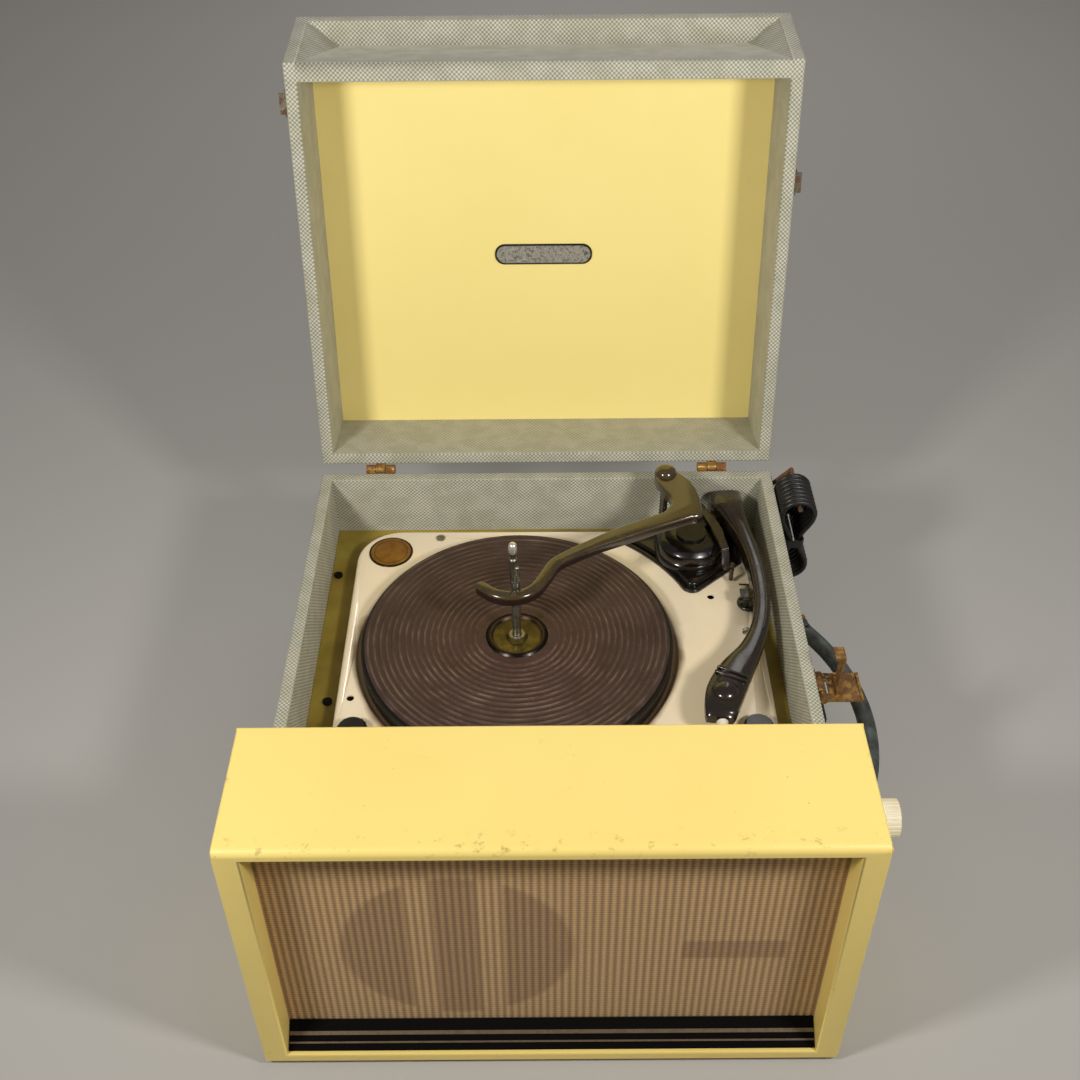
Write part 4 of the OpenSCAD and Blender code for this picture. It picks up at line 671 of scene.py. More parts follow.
def rubbed_plate():
    """Bare pressed plate: chrome rubbed through in grey and dark spots, with a blackened edge."""
    made, tree, where = new_finish("rubbed_chrome_plate", 0.4, 0.75)
    low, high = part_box("lid_plate")
    middle, half = (low + high) / 2, (high - low) / 2
    spots = clouds(tree, (where, 3.0, 5.0, 0.75), 0.42, 0.6)
    # Distance from the line between the rounded ends' centres
    x, _, z = add_node(tree, "SeparateXYZ", [where]).node.outputs
    aside = add_node(tree, "Math", [x, middle.x], operation="SUBTRACT")
    aside = add_node(tree, "Math", [aside], operation="ABSOLUTE")
    past = add_node(tree, "Math", [aside, half.x - half.z], operation="SUBTRACT")
    past = add_node(tree, "Math", [past, 0.0], operation="MAXIMUM")
    place = add_node(tree, "CombineXYZ", {"X": past, "Z": z})
    reach, _ = reach_from(tree, place, (0, 0, middle.z), (1, 0, 1))
    colour = painted(
        tree, "DAD7CE", (spots, "77726A"), (clouds(tree, (where, 6, 4.0, 0.7), 0.6, 0.7, 0.0, 0.7), "2B2823"),
        (add_node(tree, "MapRange", [reach, half.z - 2 * MM, half.z - 1 * MM]), "1B1813"))
    return surface(made, colour, [spots, 0.0, 1.0, 0.22, 0.55], height=spots, relief=0.08)


FINISHES = {}


def make_finishes():
    """Every finish by its slot name in the record, made once."""
    colours = bpy.context.scene.player_colours
    FINISHES.update({
        "case_cloth": case_cloth(),
        "yellow_covering": yellow_cloth(),
        "yellow_lining": lining_board(),
        "grille_fabric": ribbed_grille(),
        "mat_rubber": mat_rubber(),
        "brown_bakelite": moulding("brown_phenolic", colours.brown, "1A120E", 0.16),
        "handled_bakelite": moulding("handled_brown_phenolic", "2E221A", "1E1611", 0.22),
        # The steadying arm's darker colour below its top is painted shade on its sides
        "olive_bakelite": moulding("olive_brown_phenolic", colours.olive, "33281A", 0.16, 0.12, 0.9,
                                   side=("Z", 0.1765, 0.1785, "22150F")),
        "arm_bakelite": moulding("tonearm_phenolic", "3A2F1A", "2A2114", 0.18, 0.14, 0.5,
                                 side=("Y", 0.165, 0.195, "211812")),
        "cream_enamel": enamel(),
        # Plated steel that time has rusted: dull, with brown patches
        "catch_steel": rusted("rusted_plated_catch", "A58345", "74502A", 0.45),
        "hinge_brass": rusted("brassed_hinge_steel", "C09A50", "8E5E2C", 0.35),
        "keeper_steel": rusted("dull_keeper_steel", "77705F", "5B4A36", 0.35),
        "hook_steel": rusted("worn_hook_steel", "6A655C", "7A4A2A", 0.4),
        # Bright or tarnished metal, cast, turned or plated: silvery, or yellow with brass and bronze
        "spindle_steel": spindle_finish(),
        "hub_brass": hub_finish(),
        "plated_screw": screw_finish(),
        "plate_chrome": rubbed_plate(),
        "badge_brass": badge_finish(),
        "speaker_steel": plain_finish("zinc_plated_steel", "7B7D7A", "62645F", 0.4, 0.8),
        "chassis_steel": plain_finish("cadmium_plated_chassis", "9AA09C", "858A80", 0.4, 0.8),
        "pot_steel": plain_finish("dull_plated_steel", "77736A", "66625A", 0.42, 0.8),
        "spring_steel": plain_finish("bright_spring_steel", "9B9EA0", "7E8183", 0.3, 0.9),
        "zinc_steel": plain_finish("zinc_plated_bracket", "A8A99F", "8D8E84", 0.36, 0.85),
        "cast_zinc": plain_finish("die_cast_zinc", "B8B6AE", "9E9C94", 0.42, 0.85),
        "post_steel": plain_finish("nickel_post", "8F8A80", "6E6960", 0.25, 0.9),
        "dark_steel": plain_finish("blackened_steel", "241F1A", "191511", 0.32, 0.3),
        "bronze_line": plain_finish("bronze_strip", "8F7B62", "6E5C46", 0.38, 0.7, blotch=6),
        "pulley_brass": plain_finish("turned_brass", "C7A24A", "A9863A", 0.28, 0.95),
        "bearing_bronze": plain_finish("sintered_bronze", "9A8258", "806A45", 0.45, 0.85),
        # Wood, board and pulp, bare or painted: dull and faintly blotched
        "plywood": plain_finish("birch_plywood", "B58A55", "9C7343", 0.6, blotch=18, relief=0.05),
        "plinth_black": plain_finish("black_painted_wood", "0B0A09", "100E0C", 0.8, blotch=12, relief=0.03,
                                     Specular_IOR_Level=0.05),
        "olive_covering": plain_finish("olive_painted_board", "A8933C", "8C7626", 0.5, blotch=45,
                                       relief=0.05),
        "speaker_paper": plain_finish("pressed_paper_cone", "3A342C", "2B2620", 0.9, relief=0.08),
        # Rubber: near black, dull, and grey where it has perished
        "foot_rubber": plain_finish("black_rubber_foot", "26241F", "34312B", 0.7),
        "idler_rubber": plain_finish("idler_rubber_tyre", "3B3733", "2E2B28", 0.7),
        "cord_rubber": plain_finish("black_rubber_cord", "141312", "201E1C", 0.38, grain=0.8, relief=0.03),
        # Paint on pressed metal: a low gloss
        "motor_grey": plain_finish("grey_hammer_paint", "7F8285", "6C6F72", 0.4, grain=2.0, relief=0.08),
        "turntable_olive": plain_finish("dark_sprayed_pressing", "1E1912", "17130E", 0.42, 0.1),
        # Mouldings and glass: glossy
        "cream_knob": plain_finish("cream_urea_knob", "F4EBD2", "E9DDBE", 0.3, relief=0.01),
        "cream_plastic": plain_finish("ivory_moulding", "EFE8D8", "E0D6C0", 0.35),
        "black_plastic": plain_finish("black_phenolic", "1A1713", "26211B", 0.25, Coat_Weight=0.3),
        "grip_plastic": plain_finish("worn_grey_grip", "4E5652", "2A2623", 0.5, blotch=12, relief=0.06),
        "valve_glass": plain_finish("clear_valve_glass", "D8DCD8", "C9CEC9", 0.06, Transmission_Weight=0.85),
    })


# Pieces

class RECORDPLAYER_OT_camera(bpy.types.Operator):
    """Places the camera where the photograph was taken from"""
    bl_idname = "record_player.camera"
    bl_label = "Camera"

    def execute(self, context):
        data = bpy.data.cameras.new("photo_camera")
        data.sensor_fit = "HORIZONTAL"
        data.sensor_width = 36.0
        data.lens = CAMERA_LENS
        data.clip_start = 0.01
        camera = bpy.data.objects.new("photo_camera", data)
        context.scene.collection.objects.link(camera)
        camera.matrix_world = Matrix.Translation(Vector(CAMERA_PLACE) * MM)
        for degrees, axis in zip(CAMERA_TURNS, "ZXZ"):
            camera.matrix_world = camera.matrix_world @ Matrix.Rotation(math.radians(degrees), 4, axis)
        context.scene.camera = camera
        return {"FINISHED"}


# Route of the mains cord in millimetres: out of the wall and along the floor, the hank, and the tail
HANK_X, HANK_Y, HANK_Z = SIDE + 16.9, 214.0, 122.55
HANK_FOLD, HANK_RUN, HANK_WAIST, HANK_PITCH, HANK_LOOPS = 14.0, 62.0, 3.4, 5.2, 8
CORD_EXIT = (178.0, 246.5, 30.0)
LEAD_ROUTE = [
    (178, 258.5, 30), (178, 268, 28), (179, 278, 23), (183, 287, 16), (190, 294, 9), (200, 297, 4),
    (211, 295, 2.8), (221, 288, 2.8), (228, 278, 4.5), (232, 267, 9.5), (233, 256, 18), (232.5, 246, 29),
    (232, 236, 42), (231.5, 226, 56), (231, 218, 70), (230.9, 214, 82.55)]
TAIL_ROUTE = [
    (202.9, 172.4, 82.55), (203, 172, 70), (203.2, 171, 57), (203.6, 169.5, 44), (204.4, 167, 32),
    (205.4, 163, 21), (206.6, 157, 12), (208.6, 148, 6), (212, 136, 3.6), (216.5, 124, 4.5), (221, 113, 8),
    (224, 104, 10), (224, 94, 10)]


def hank_point(turns):
    """The hank's line after a number of turns: up the outer run with the climb, over, down the inner run."""
    count, share = int(turns), turns - int(turns)
    over = share >= 0.5
    part = share - 0.5 if over else share
    side = -1 if over else 1
    climb = 1.0
    if part < 0.25:
        along = part / 0.25
        z = HANK_RUN * (along - 0.5)
        x = HANK_FOLD - (HANK_FOLD - HANK_WAIST) * (1 + math.cos(2 * math.pi * z / HANK_RUN)) / 2
        if not over:
            climb = (1 - math.cos(math.pi * along)) / 2
    else:
        angle = math.pi * (part - 0.25) / 0.25
        x = HANK_FOLD * math.cos(angle)
        z = HANK_RUN / 2 + HANK_FOLD * math.sin(angle)
    return Vector((HANK_X + side * x, HANK_Y - HANK_PITCH * (count + climb), HANK_Z + side * z))


def cord_line():
    """The whole cord as one row of points, in metres."""
    around = 40
    last = int(around * (HANK_LOOPS - 0.25))
    hank = [hank_point(i / around) for i in range(last + 1)]
    lead = catmull([CORD_EXIT] + LEAD_ROUTE + [hank[0]], 4)[:-1]
    tail = catmull([hank[-1]] + TAIL_ROUTE, 4)[1:]
    return [p * MM for p in lead + hank + tail]


class RECORDPLAYER_OT_cord(bpy.types.Operator):
    """Makes the mains cord with its relief, tie and plug"""
    bl_idname = "record_player.cord"
    bl_label = "Mains cord"

    def execute(self, context):
        line = cord_line()
        flex = poly_line("mains_flex", line)
        flex.data.bevel_depth = context.scene.player_sizes.cord_diameter / 2
        flex.data.bevel_resolution = 3
        flex.data.use_fill_caps = True
        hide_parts("mains_cord_lead", "mains_cord_hank", "mains_cord_tail")
        finished(flex, "case", "cord_rubber")
        plug, _, tie = [softened(node, name, rounding, "case", "cord_rubber") for node, name, rounding in (
            ("mains_plug", "mains_plug_moulding", (2.2 * MM, 15 * MM, 4)),
            ("cord_relief", "cord_relief_moulding", (0.4 * MM, 0.3 * MM, 2)),
            ("hank_tie", "cord_tie_band", (0.25 * MM, 3 * MM, 2)))]
        return {"FINISHED"}


def lid_closed():
    """Turns the open lid's points back to the closed lid, where its walls stand square."""
    there = Matrix.Translation(HINGE_AXIS)
    return there @ Matrix.Rotation(math.radians(LID_ANGLE), 4, "X") @ there.inverted()


class RECORDPLAYER_OT_case(bpy.types.Operator):
    """Covers the case and the lid with woven cloth"""
    bl_idname = "record_player.case"
    bl_label = "Case and lid"

    def execute(self, context):
        rounding = (context.scene.player_sizes.edge_round, 12 * MM)
        box_mapped(softened("case_carcass", "case_cloth_walls", rounding, "case", "case_cloth"))
        box_mapped(softened("lid_shell", "lid_cloth_shell", rounding, "lid", "case_cloth"), lid_closed())
        gussets = copied("lid_gussets", "lid_cloth_gussets")
        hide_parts("lid_gussets")
        finished(box_mapped(gussets, lid_closed()), "lid", "case_cloth")
        return {"FINISHED"}


class RECORDPLAYER_OT_housing(bpy.types.Operator):
    """Covers the front housing and rounds the plinth at its foot"""
    bl_idname = "record_player.housing"
    bl_label = "Front housing"

    def execute(self, context):
        low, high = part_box("front_housing")

        def at_brow(edge):
            return all(v.co.z > high.z - 5.5 * MM and v.co.y < low.y + 14 * MM for v in edge.verts)

        housing = split_faces(copied("front_housing", "housing_covering"))
        round_edges(housing, 1.6 * MM, 0.5 * MM, 4,
                    lambda edge: edge.calc_length() > 12 * MM or at_brow(edge))
        smooth(housing)
        apply_modifier(housing, "WEIGHTED_NORMAL", keep_sharp=True)
        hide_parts("front_housing")
        finished(housing, "case", "yellow_covering")
        softened("plinth_strip", "plinth_wedge", (0.5 * MM, 10 * MM), "case", "plinth_black")
        return {"FINISHED"}


# Stretches of mesh across each rib, and the cloth's thickness in millimetres
RIB_STEPS, GRILLE_THICK = 8, 0.8


class RECORDPLAYER_OT_grille(bpy.types.Operator):
    """Stretches the ribbed cloth over the baffle"""
    bl_idname = "record_player.grille"
    bl_label = "Grille cloth"

    def execute(self, context):
        sizes = context.scene.player_sizes
        low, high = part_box("grille_cloth")
        width, height = high.x - low.x, high.z - low.z
        clear_selection()
        columns = round(width / sizes.rib_pitch) * RIB_STEPS
        bpy.ops.mesh.primitive_grid_add(
            x_subdivisions=columns, y_subdivisions=12, size=1,
            location=(0, 0, (low.z + high.z) / 2), rotation=(math.radians(90), 0, 0))
        cloth = bpy.context.object
        cloth.scale = (width, height, 1)
        settle(cloth, "grille_ribbed_cloth")
        for vert in cloth.data.vertices:
            rib = (1 + math.cos(2 * math.pi * vert.co.x / sizes.rib_pitch)) / 2
            vert.co.y = low.y + FACE_LEAN * (vert.co.z - low.z) + (1 - rib) * sizes.rib_height
        apply_modifier(cloth, "SOLIDIFY", thickness=GRILLE_THICK * MM, offset=-1.0)
        smooth(outward(cloth), 60)
        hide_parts("grille_cloth")
        finished(cloth, "case", "grille_fabric")
        return {"FINISHED"}


class RECORDPLAYER_OT_unit(bpy.types.Operator):
    """Presses the unit plate, lays the mat on the turntable and turns the changer's spindle"""
    bl_idname = "record_player.unit"
    bl_label = "Unit plate and turntable"

    def execute(self, context):
        low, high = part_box("unit_plate")
        middle, half = (low + high) / 2, (high - low) / 2

        def on_top(edge, test):
            return all(v.co.z > high.z - 0.2 * MM and test(v.co) for v in edge.verts)

        def at_border(place):
            beyond = [max(abs(place[i] - middle[i]) - half[i] + PLATE_CORNER * MM, 0) for i in (0, 1)]
            return math.hypot(*beyond) > (PLATE_CORNER - 0.2) * MM

        def at_well(place):
            reach = math.hypot(place.x - PLATTER[0] * MM, place.y - PLATTER[1] * MM)
            return abs(reach - WELL_RADIUS * MM) < 0.3 * MM

        plate = split_faces(copied("unit_plate", "unit_plate_pressing"))
        round_edges(plate, 2.0 * MM, 0.5 * MM, 4, lambda edge: on_top(edge, at_border))
        round_edges(plate, 1.2 * MM, 0.5 * MM, 3, lambda edge: on_top(edge, at_well), degrees=10)
        smooth(plate)
        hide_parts("unit_plate")
        finished(plate, "case", "cream_enamel")
        mat = copied("platter_mat", "ribbed_mat")
        smooth(mat, 30)
        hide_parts("platter_mat")
        finished(mat, "turntable", "mat_rubber")
        shaft = turned_solid("changer_spindle", [
            (3.0, 88), (3.5, 88.5), (3.5, 184.2), (3.3, 184.8), (2.4, 185)], (*PLATTER, 0), 40)
        upper = turned_solid("upper", [
            (2.7, 182), (2.9, 182.3), (2.9, 203), (3.3, 203.6), (3.3, 207), (2.3, 208), (2.3, 212.6),
            (3.1, 213.6), (3.3, 214.4), (3.3, 219.6), (3.1, 221), (2.5, 222.2), (1.4, 222.9), (0.5, 223)],
            (PLATTER[0] - 1.6, PLATTER[1] + 1.0, 0), 40)
        pawl = turned_solid("pawl", [(1.5, 190), (1.9, 190.4), (1.9, 199.6), (1.5, 200)],
                            (PLATTER[0] + 1.4, PLATTER[1] - 0.6, 0), 24)
        combined("UNION", shaft, upper, pawl)
        smooth(outward(shaft), 40)
        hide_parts("centre_spindle")
        finished(shaft, "case", "spindle_steel")
        return {"FINISHED"}


# Steadying arm in millimetres: the broad neck's two sides and the run behind the hook, from the post, and the
# hook from the spindle; run and hook are (x, y, width)
NECK_INNER = [(0, 9), (-6.4, 7), (-9.4, 1), (-8.4, -10), (-2.8, -24), (1.8, -34), (0.4, -43), (-6, -51)]
NECK_OUTER = [(17, -58), (24.5, -56.5), (27, -51), (26.5, -33), (22.8, -16), (15.5, -3), (6.6, 7)]
STEADY_RUN = [(-14, -63.4, 15.3), (-43, -77.6, 14.5), (-64, -89, 12)]
STEADY_HOOK = [(45, 38.5, 10.5), (31, 27.5, 10), (23, 12.5, 10), (14, -2.5, 10), (0, -9.5, 9.6),
               (-15, -7.5, 9.6), (-27, 1.5, 9)]


def steady_outline():
    """The arm's outline seen from above: down one side, round the tip and back up the other."""
    middle = catmull([(POST[0] + x, POST[1] + y, w) for x, y, w in STEADY_RUN]
                     + [(PLATTER[0] + x, PLATTER[1] + y, w) for x, y, w in STEADY_HOOK], 5)
    sides = ([], [])
    for before, here, after in zip(middle[:1] + middle, middle, middle[1:] + middle[-1:]):
        along = (after - before).to_2d().normalized()
        for side, turn in zip(sides, (-1, 1)):
            side.append(here.to_2d() + turn * Vector((-along.y, along.x)) * here.z / 2)
    tip, forward = middle[-1].to_2d(), (middle[-1] - middle[-2]).to_2d().normalized()
    across = Vector((forward.y, -forward.x))
    round_tip = [tip + middle[-1].z / 2 * (math.cos(a) * across + math.sin(a) * forward)
                 for a in (math.radians(d) for d in range(10, 171, 20))]
    inner = [Vector(POST) + Vector(p) for p in NECK_INNER]
    outer = [Vector(POST) + Vector(p) for p in NECK_OUTER]
    return [Vector((p.x, p.y, 0)) for p in
            catmull([(*p, 0) for p in inner], 3) + [Vector((*p, 0)) for p in sides[0] + round_tip]
            + [Vector((*p, 0)) for p in reversed(sides[1])] + catmull([(*p, 0) for p in outer], 3)]


def outline_block(name, outline, bottom, top, top_round, foot_round):
    """A flat moulding: an outline in millimetres filled, drawn up and rounded along its top and its foot."""
    line = poly_line(name, [Vector((p.x, p.y, bottom)) * MM for p in outline], cyclic=True)
    make_active(line)
    bpy.ops.object.convert(target="MESH")
    block = bpy.context.object
    edit_mesh(block)
    bpy.ops.mesh.select_all(action="SELECT")
    bpy.ops.mesh.remove_doubles(threshold=0.05 * MM)
    bpy.ops.mesh.edge_face_add()
    bpy.ops.mesh.extrude_region_move(TRANSFORM_OT_translate={"value": (0, 0, (top - bottom) * MM)})
    leave_edit(block)
    outward(block)
    for level, radius in ((top, top_round), (bottom, foot_round)):
        round_edges(block, radius * MM, 0, 4,
                    lambda edge: all(abs(v.co.z - level * MM) < 0.01 * MM for v in edge.verts), 60)
    return outward(block)


# The corner moulding, in millimetres from its turret: its sides, its front tip, and where its right side ends
FLANGE_LEFT, FLANGE_RIGHT, FLANGE_BACK = -64.5, 44.5, 29.0
FLANGE_TIP, FLANGE_SHOULDER = (-4.9, -56.7), -13.8
# Radius of the side that runs round the turntable, and the height of the unit plate's top under the moulding
FLANGE_ARC, DECK_Z = 156.0, 110.0


def flange_outline(margin, tip_round):
    """The corner moulding's outline, drawn in by a margin; its left side runs round the turntable."""
    x, y = TURRET[0] - PLATTER[0], TURRET[1] - PLATTER[1]
    radius = FLANGE_ARC + margin
    first, last = math.acos((x + FLANGE_LEFT + margin) / radius), math.radians(27.5)
    corners = [(FLANGE_TIP[0] + 0.4 * margin, FLANGE_TIP[1] + 1.65 * margin, tip_round),
               (FLANGE_RIGHT - margin, FLANGE_SHOULDER + 0.45 * margin, 3.5),
               (FLANGE_RIGHT - margin, FLANGE_BACK - margin, 3.5),
               (FLANGE_LEFT + margin, FLANGE_BACK - margin, 2.5)]
    for i in range(9):
        angle = first + (last - first) * i / 8
        corners.append((radius * math.cos(angle) - x, radius * math.sin(angle) - y, 0))
    return rounded_outline(corners, TURRET)


def rounded_outline(corners, place, arc=7):
    """Points of an outline whose corners are (x, y, radius) from a place, in millimetres."""
    made = []
    for before, (x, y, radius), after in zip(corners[-1:] + corners, corners, corners[1:] + corners[:1]):
        here = Vector((x, y))
        if not radius:
            made.append(Vector(place) + here)
            continue
        back, on = (Vector(before[:2]) - here).normalized(), (Vector(after[:2]) - here).normalized()
        half = back.angle(on) / 2
        centre = here + (back + on).normalized() * radius / math.sin(half)
        reach = radius / math.tan(half)
        first, last = here + back * reach - centre, here + on * reach - centre
        made += [Vector(place) + centre + radius * first.slerp(last, i / arc) for i in range(arc + 1)]
    return made


class RECORDPLAYER_OT_steadying_arm(bpy.types.Operator):
    """Moulds the arm that steadies the stack of records"""
    bl_idname = "record_player.steadying_arm"
    bl_label = "Steadying arm"

    def execute(self, context):
        arm = outline_block(
            "steadying_arm_moulding", steady_outline(), STEADY_Z, STEADY_Z + STEADY_T, 2.6, 0.8)
        head = turned_solid("head", [
            (4, -5), (6.9, -5), (7.6, -4.2), (9.6, 0), (9.6, 8.5), (9.0, 11), (7.2, 13.4), (4.4, 14.8),
            (1.2, 15)],
            (POST[0], POST[1], STEADY_Z), 48)
        combined("UNION", arm, head)
        bore = turned_solid("bore", [(3.55, -8), (3.55, 8)], (POST[0], POST[1], STEADY_Z), 48)
        combined("DIFFERENCE", arm, bore)
        smooth(outward(arm), 40)
        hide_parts("steady_arm")
        finished(arm, "overarm", "olive_bakelite")
        return {"FINISHED"}


# The tonearm from its turret, in millimetres: its middle line with its widths, and its top's height along Y
ARM_PATH = [(33, 41, 29), (34, 30, 28), (38, 16, 21), (44, -6, 15), (49.5, -36, 13.5), (51, -66, 13.5),
            (49.5, -92, 13.5), (44, -117, 14.5), (34, -140, 18), (20, -163, 26), (9, -186, 29), (4, -204, 24),
            (3, -210, 20)]
ARM_TOP = [(-210, 8), (-206, 11), (-196, 12.5), (-172, 14), (-148, 11.5), (-100, 12), (-40, 13.5), (6, 17.5),
           (24, 22.5), (41, 21)]
ARM_WALL = 2.2
# The head's dome, and the two collars behind it as (place along the arm, width, height), in millimetres
DOME_Y, DOME_RADIUS, DOME_SQUASH = -188, 10.5, 0.62
COLLARS = ((-170, 25, 2.2), (-174.5, 25.5, 1.5))
# The two lines of beading: their ends along the arm, how far aside, their radius and how deep they lie
BEAD_ENDS, BEAD_ASIDE, BEAD_RADIUS, BEAD_SINK = (12, -120), 3.4, 1.0, 0.45


def tonearm_bar(name, inset):
    """The tonearm's outer form, or with an inset from its sides, ends and top its inner one."""
    fine = catmull(ARM_PATH, 5)
    line = [Vector((TURRET[0] + p.x, TURRET[1] + p.y, 0)) for p in fine]
    along = lengths_along(line)
    stations = []
    for s, p in zip(along, fine):
        if inset and not inset < s < along[-1] - inset:
            continue
        bottom, top = ARM_Z - (3 if inset else 0), ARM_Z + value_at(ARM_TOP, p.y) - inset
        stations.append((s * MM, (p.z - 2 * inset) * MM, bottom * MM, top * MM))
    return bent(lofted(name, stations, 0.32), [p * MM for p in line])


def on_arm(y, aside=0.0):
    """A place on the tonearm's top, in millimetres, beside its middle line."""
    fine = catmull(ARM_PATH, 12)
    near = min(range(1, len(fine) - 1), key=lambda i: abs(fine[i].y - y))
    along = (fine[near + 1] - fine[near - 1]).to_2d().normalized()
    across = Vector((-along.y, along.x)) * aside
    return Vector((TURRET[0] + fine[near].x + across.x, TURRET[1] + fine[near].y + across.y,
                   ARM_Z + value_at(ARM_TOP, fine[near].y)))


def beading(name, aside):
    """A half-sunk line moulded along the tonearm's top."""
    start, end = BEAD_ENDS
    rows = [on_arm(start + (end - start) * i / 30, aside) - Vector((0, 0, BEAD_SINK)) for i in range(31)]
    line = poly_line(name, [p * MM for p in rows])
    line.data.bevel_depth = BEAD_RADIUS * MM
    line.data.bevel_resolution = 3
    line.data.use_fill_caps = True
    make_active(line)
    bpy.ops.object.convert(target="MESH")
    return outward(bpy.context.object)


class RECORDPLAYER_OT_tonearm(bpy.types.Operator):
    """Moulds the tonearm with its dome, collars and beading"""
    bl_idname = "record_player.tonearm"
    bl_label = "Tonearm"

    def execute(self, context):
        arm = tonearm_bar("tonearm_moulding", 0)
        dome_at = on_arm(DOME_Y, 0.5)
        clear_selection()
        bpy.ops.mesh.primitive_uv_sphere_add(segments=40, ring_count=20, radius=DOME_RADIUS * MM,
                                             location=(dome_at - Vector((0, 0, 2))) * MM)
        dome = bpy.context.object
        dome.scale = (1, 1, DOME_SQUASH)
        combined("UNION", arm, settle(dome, "dome"))
        for y, wide, high in COLLARS:
            centre = on_arm(y)
            across = (on_arm(y, 1) - centre).to_2d()
            clear_selection()
            bpy.ops.mesh.primitive_cube_add(
                size=1, location=(centre - Vector((0, 0, 4 - high / 2))) * MM,
                rotation=(0, 0, math.atan2(across.y, across.x)))
            band = bpy.context.object
            band.scale = (wide * MM, 2.4 * MM, (8 + high) * MM)
            settle(band, "band")
            combined("UNION", arm, round_edges(band, 0.7 * MM, 0))
        combined("DIFFERENCE", arm, tonearm_bar("inside", ARM_WALL))
        smooth(outward(arm), 40)
        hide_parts("tonearm")
        finished(arm, "pickup_arm", "brown_bakelite", "arm_bakelite")
        for name, aside in (("tonearm_bead_left", BEAD_ASIDE), ("tonearm_bead_right", -BEAD_ASIDE)):
            bead = smooth(beading(name, aside), 60)
            finished(bead, "pickup_arm", "brown_bakelite", "arm_bakelite")
        return {"FINISHED"}


class RECORDPLAYER_OT_mouldings(bpy.types.Operator):
    """Moulds the corner under the arms, the curved finger and the handle's grip"""
    bl_idname = "record_player.mouldings"
    bl_label = "Mouldings and fittings"

    def execute(self, context):
        corner = outline_block("arm_corner_moulding", flange_outline(0, 9.8), DECK_Z, DECK_Z + 3, 0.9, 0.1)
        raised_part = outline_block("raised", flange_outline(4, 6.5), DECK_Z + 1, DECK_Z + 7, 1.8, 0.1)
        turret = turned_solid("turret", [
            (30.6, 0.4), (31, 0.8), (31, 8.4), (30.4, 9.8), (29.5, 10.8), (29.5, 18.4), (29.1, 19.4),
            (28.2, 20.4), (25.6, 22.9), (24.6, 23.6), (23, 24)], (*TURRET, DECK_Z), 96)
        boss = turned_solid("boss", [(6, 1), (6, 12), (5.6, 12.7), (5, 13)], (*POST, DECK_Z), 48)
        combined("UNION", corner, raised_part, turret, boss)
        combined("DIFFERENCE", corner,
                 turned_solid("arm_bore", [(4.3, -1), (4.3, 26)], (*TURRET, DECK_Z), 48),
                 turned_solid("post_bore", [(3.8, -1), (3.8, 26)], (*POST, DECK_Z), 48))
        smooth(outward(corner), 40)
        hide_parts("arm_housing")
        finished(corner, "case", "brown_bakelite")
        softened("sensing_lever", "arm_finger", (0.7 * MM, 5 * MM), "arm_column", "brown_bakelite",
                 "handled_bakelite")
        grip = copied("handle_grip", "handle_grip_moulding")
        smooth(grip, 40)
        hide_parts("handle_grip")
        finished(grip, "handle", "grip_plastic")
        return {"FINISHED"}


# Nodes whose finish isn't the one of their slot in the record
OWN_FINISH = {"lid_keepers": "keeper_steel"}


class RECORDPLAYER_OT_node_finishes(bpy.types.Operator):
    """Gives every other node of the frame its finish"""
    bl_idname = "record_player.node_finishes"
    bl_label = "Finishes of the frame"

    def execute(self, context):
        for name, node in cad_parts.items():
            wanted = OWN_FINISH.get(name, node.data.materials[0].name.split(".")[0])
            node.data.materials.clear()
            node.data.materials.append(FINISHES[wanted])
        return {"FINISHED"}


# Softboxes as (name, place and side in metres, power in watts), what they face, and their warm white
LAMPS = (
    ("left_softbox", (-0.50, -0.46, 0.76), 0.15, 5.05),
    ("right_softbox", (0.52, -0.46, 0.78), 0.15, 5.05),
    ("back_softbox", (0.2, 1.9, 1.5), 1.2, 9.0))
LAMP_AIM = (0, 0.45, 0.5)
LAMP_COLOUR = (1.0, 0.985, 0.955)
# Strength of the air as light and as what the camera sees
AIR_LIGHT, AIR_SEEN = 0.24, 0.85


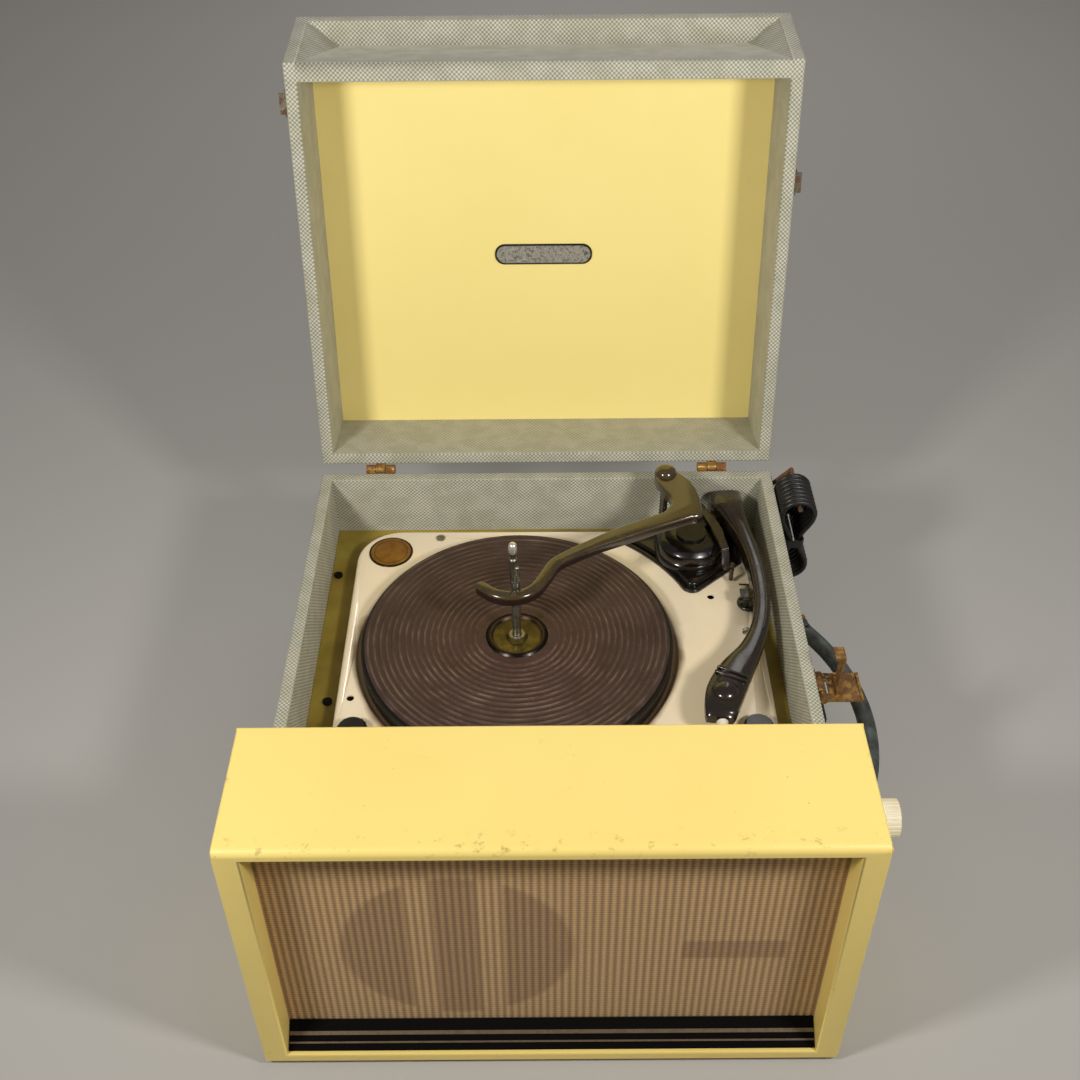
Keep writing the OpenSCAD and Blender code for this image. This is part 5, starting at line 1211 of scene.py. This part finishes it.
class RECORDPLAYER_OT_stage(bpy.types.Operator):
    """Lays the plain floor and sets the studio lights"""
    bl_idname = "record_player.stage"
    bl_label = "Stage and lights"

    def execute(self, context):
        clear_selection()
        bpy.ops.mesh.primitive_circle_add(vertices=96, radius=7, fill_type="NGON")
        floor = settle(bpy.context.object, "studio_floor")
        made, tree, where = new_finish("matt_paper_floor", 0.9)
        tree.nodes["Principled BSDF"].inputs["Base Color"].default_value = context.scene.player_colours.floor
        floor.data.materials.append(surface(made, height=(where, 3, 2.0), relief=0.02))
        for name, place, size, power in LAMPS:
            data = bpy.data.lights.new(name, "AREA")
            data.shape = "SQUARE"
            data.size = size
            data.energy = power
            data.color = LAMP_COLOUR
            lamp = bpy.data.objects.new(name, data)
            context.scene.collection.objects.link(lamp)
            lamp.location = place
            lamp.rotation_euler = (Vector(LAMP_AIM) - lamp.location).to_track_quat("-Z", "Y").to_euler()
        world = bpy.data.worlds.new("studio_air")
        world.use_nodes = True
        tree = world.node_tree
        air = tree.nodes["Background"]
        rays = add_node(tree, "LightPath").node.outputs
        seen = add_node(tree, "Math", [rays["Is Camera Ray"], rays["Is Transmission Ray"]],
                        operation="MAXIMUM")
        air.inputs["Color"].default_value = linear("E8E6E3")
        strength = add_node(tree, "MapRange", [seen, 0.0, 1.0, AIR_LIGHT, AIR_SEEN])
        tree.links.new(strength, air.inputs["Strength"])
        context.scene.world = world
        context.scene.view_settings.view_transform = "Standard"
        return {"FINISHED"}


class RECORDPLAYER_PT_panel(bpy.types.Panel):
    """Lists the steps and the sizes and colours"""
    bl_idname = "RECORDPLAYER_PT_panel"
    bl_label = "Record player"
    bl_space_type = "VIEW_3D"
    bl_region_type = "UI"
    bl_category = "Record player"

    def draw(self, context):
        for operator in OPERATORS:
            self.layout.operator(operator.bl_idname)
        for group in (context.scene.player_sizes, context.scene.player_colours):
            for name in group.__annotations__:
                self.layout.prop(group, name)


OPERATORS = (
    RECORDPLAYER_OT_camera, RECORDPLAYER_OT_cord, RECORDPLAYER_OT_case, RECORDPLAYER_OT_housing,
    RECORDPLAYER_OT_grille, RECORDPLAYER_OT_unit, RECORDPLAYER_OT_steadying_arm, RECORDPLAYER_OT_tonearm,
    RECORDPLAYER_OT_mouldings, RECORDPLAYER_OT_node_finishes, RECORDPLAYER_OT_stage)
CLASSES = (RecordPlayerSizes, RecordPlayerColours) + OPERATORS + (RECORDPLAYER_PT_panel,)


def register():
    for cls in CLASSES:
        bpy.utils.register_class(cls)
    bpy.types.Scene.player_sizes = bpy.props.PointerProperty(type=RecordPlayerSizes)
    bpy.types.Scene.player_colours = bpy.props.PointerProperty(type=RecordPlayerColours)


def unregister():
    del bpy.types.Scene.player_colours
    del bpy.types.Scene.player_sizes
    for cls in reversed(CLASSES):
        bpy.utils.unregister_class(cls)


def main():
    register()
    make_finishes()
    bpy.ops.record_player.camera()
    bpy.ops.record_player.cord()
    bpy.ops.record_player.case()
    bpy.ops.record_player.housing()
    bpy.ops.record_player.grille()
    bpy.ops.record_player.unit()
    bpy.ops.record_player.steadying_arm()
    bpy.ops.record_player.tonearm()
    bpy.ops.record_player.mouldings()
    bpy.ops.record_player.node_finishes()
    bpy.ops.record_player.stage()


if __name__ == "__main__":
    main()
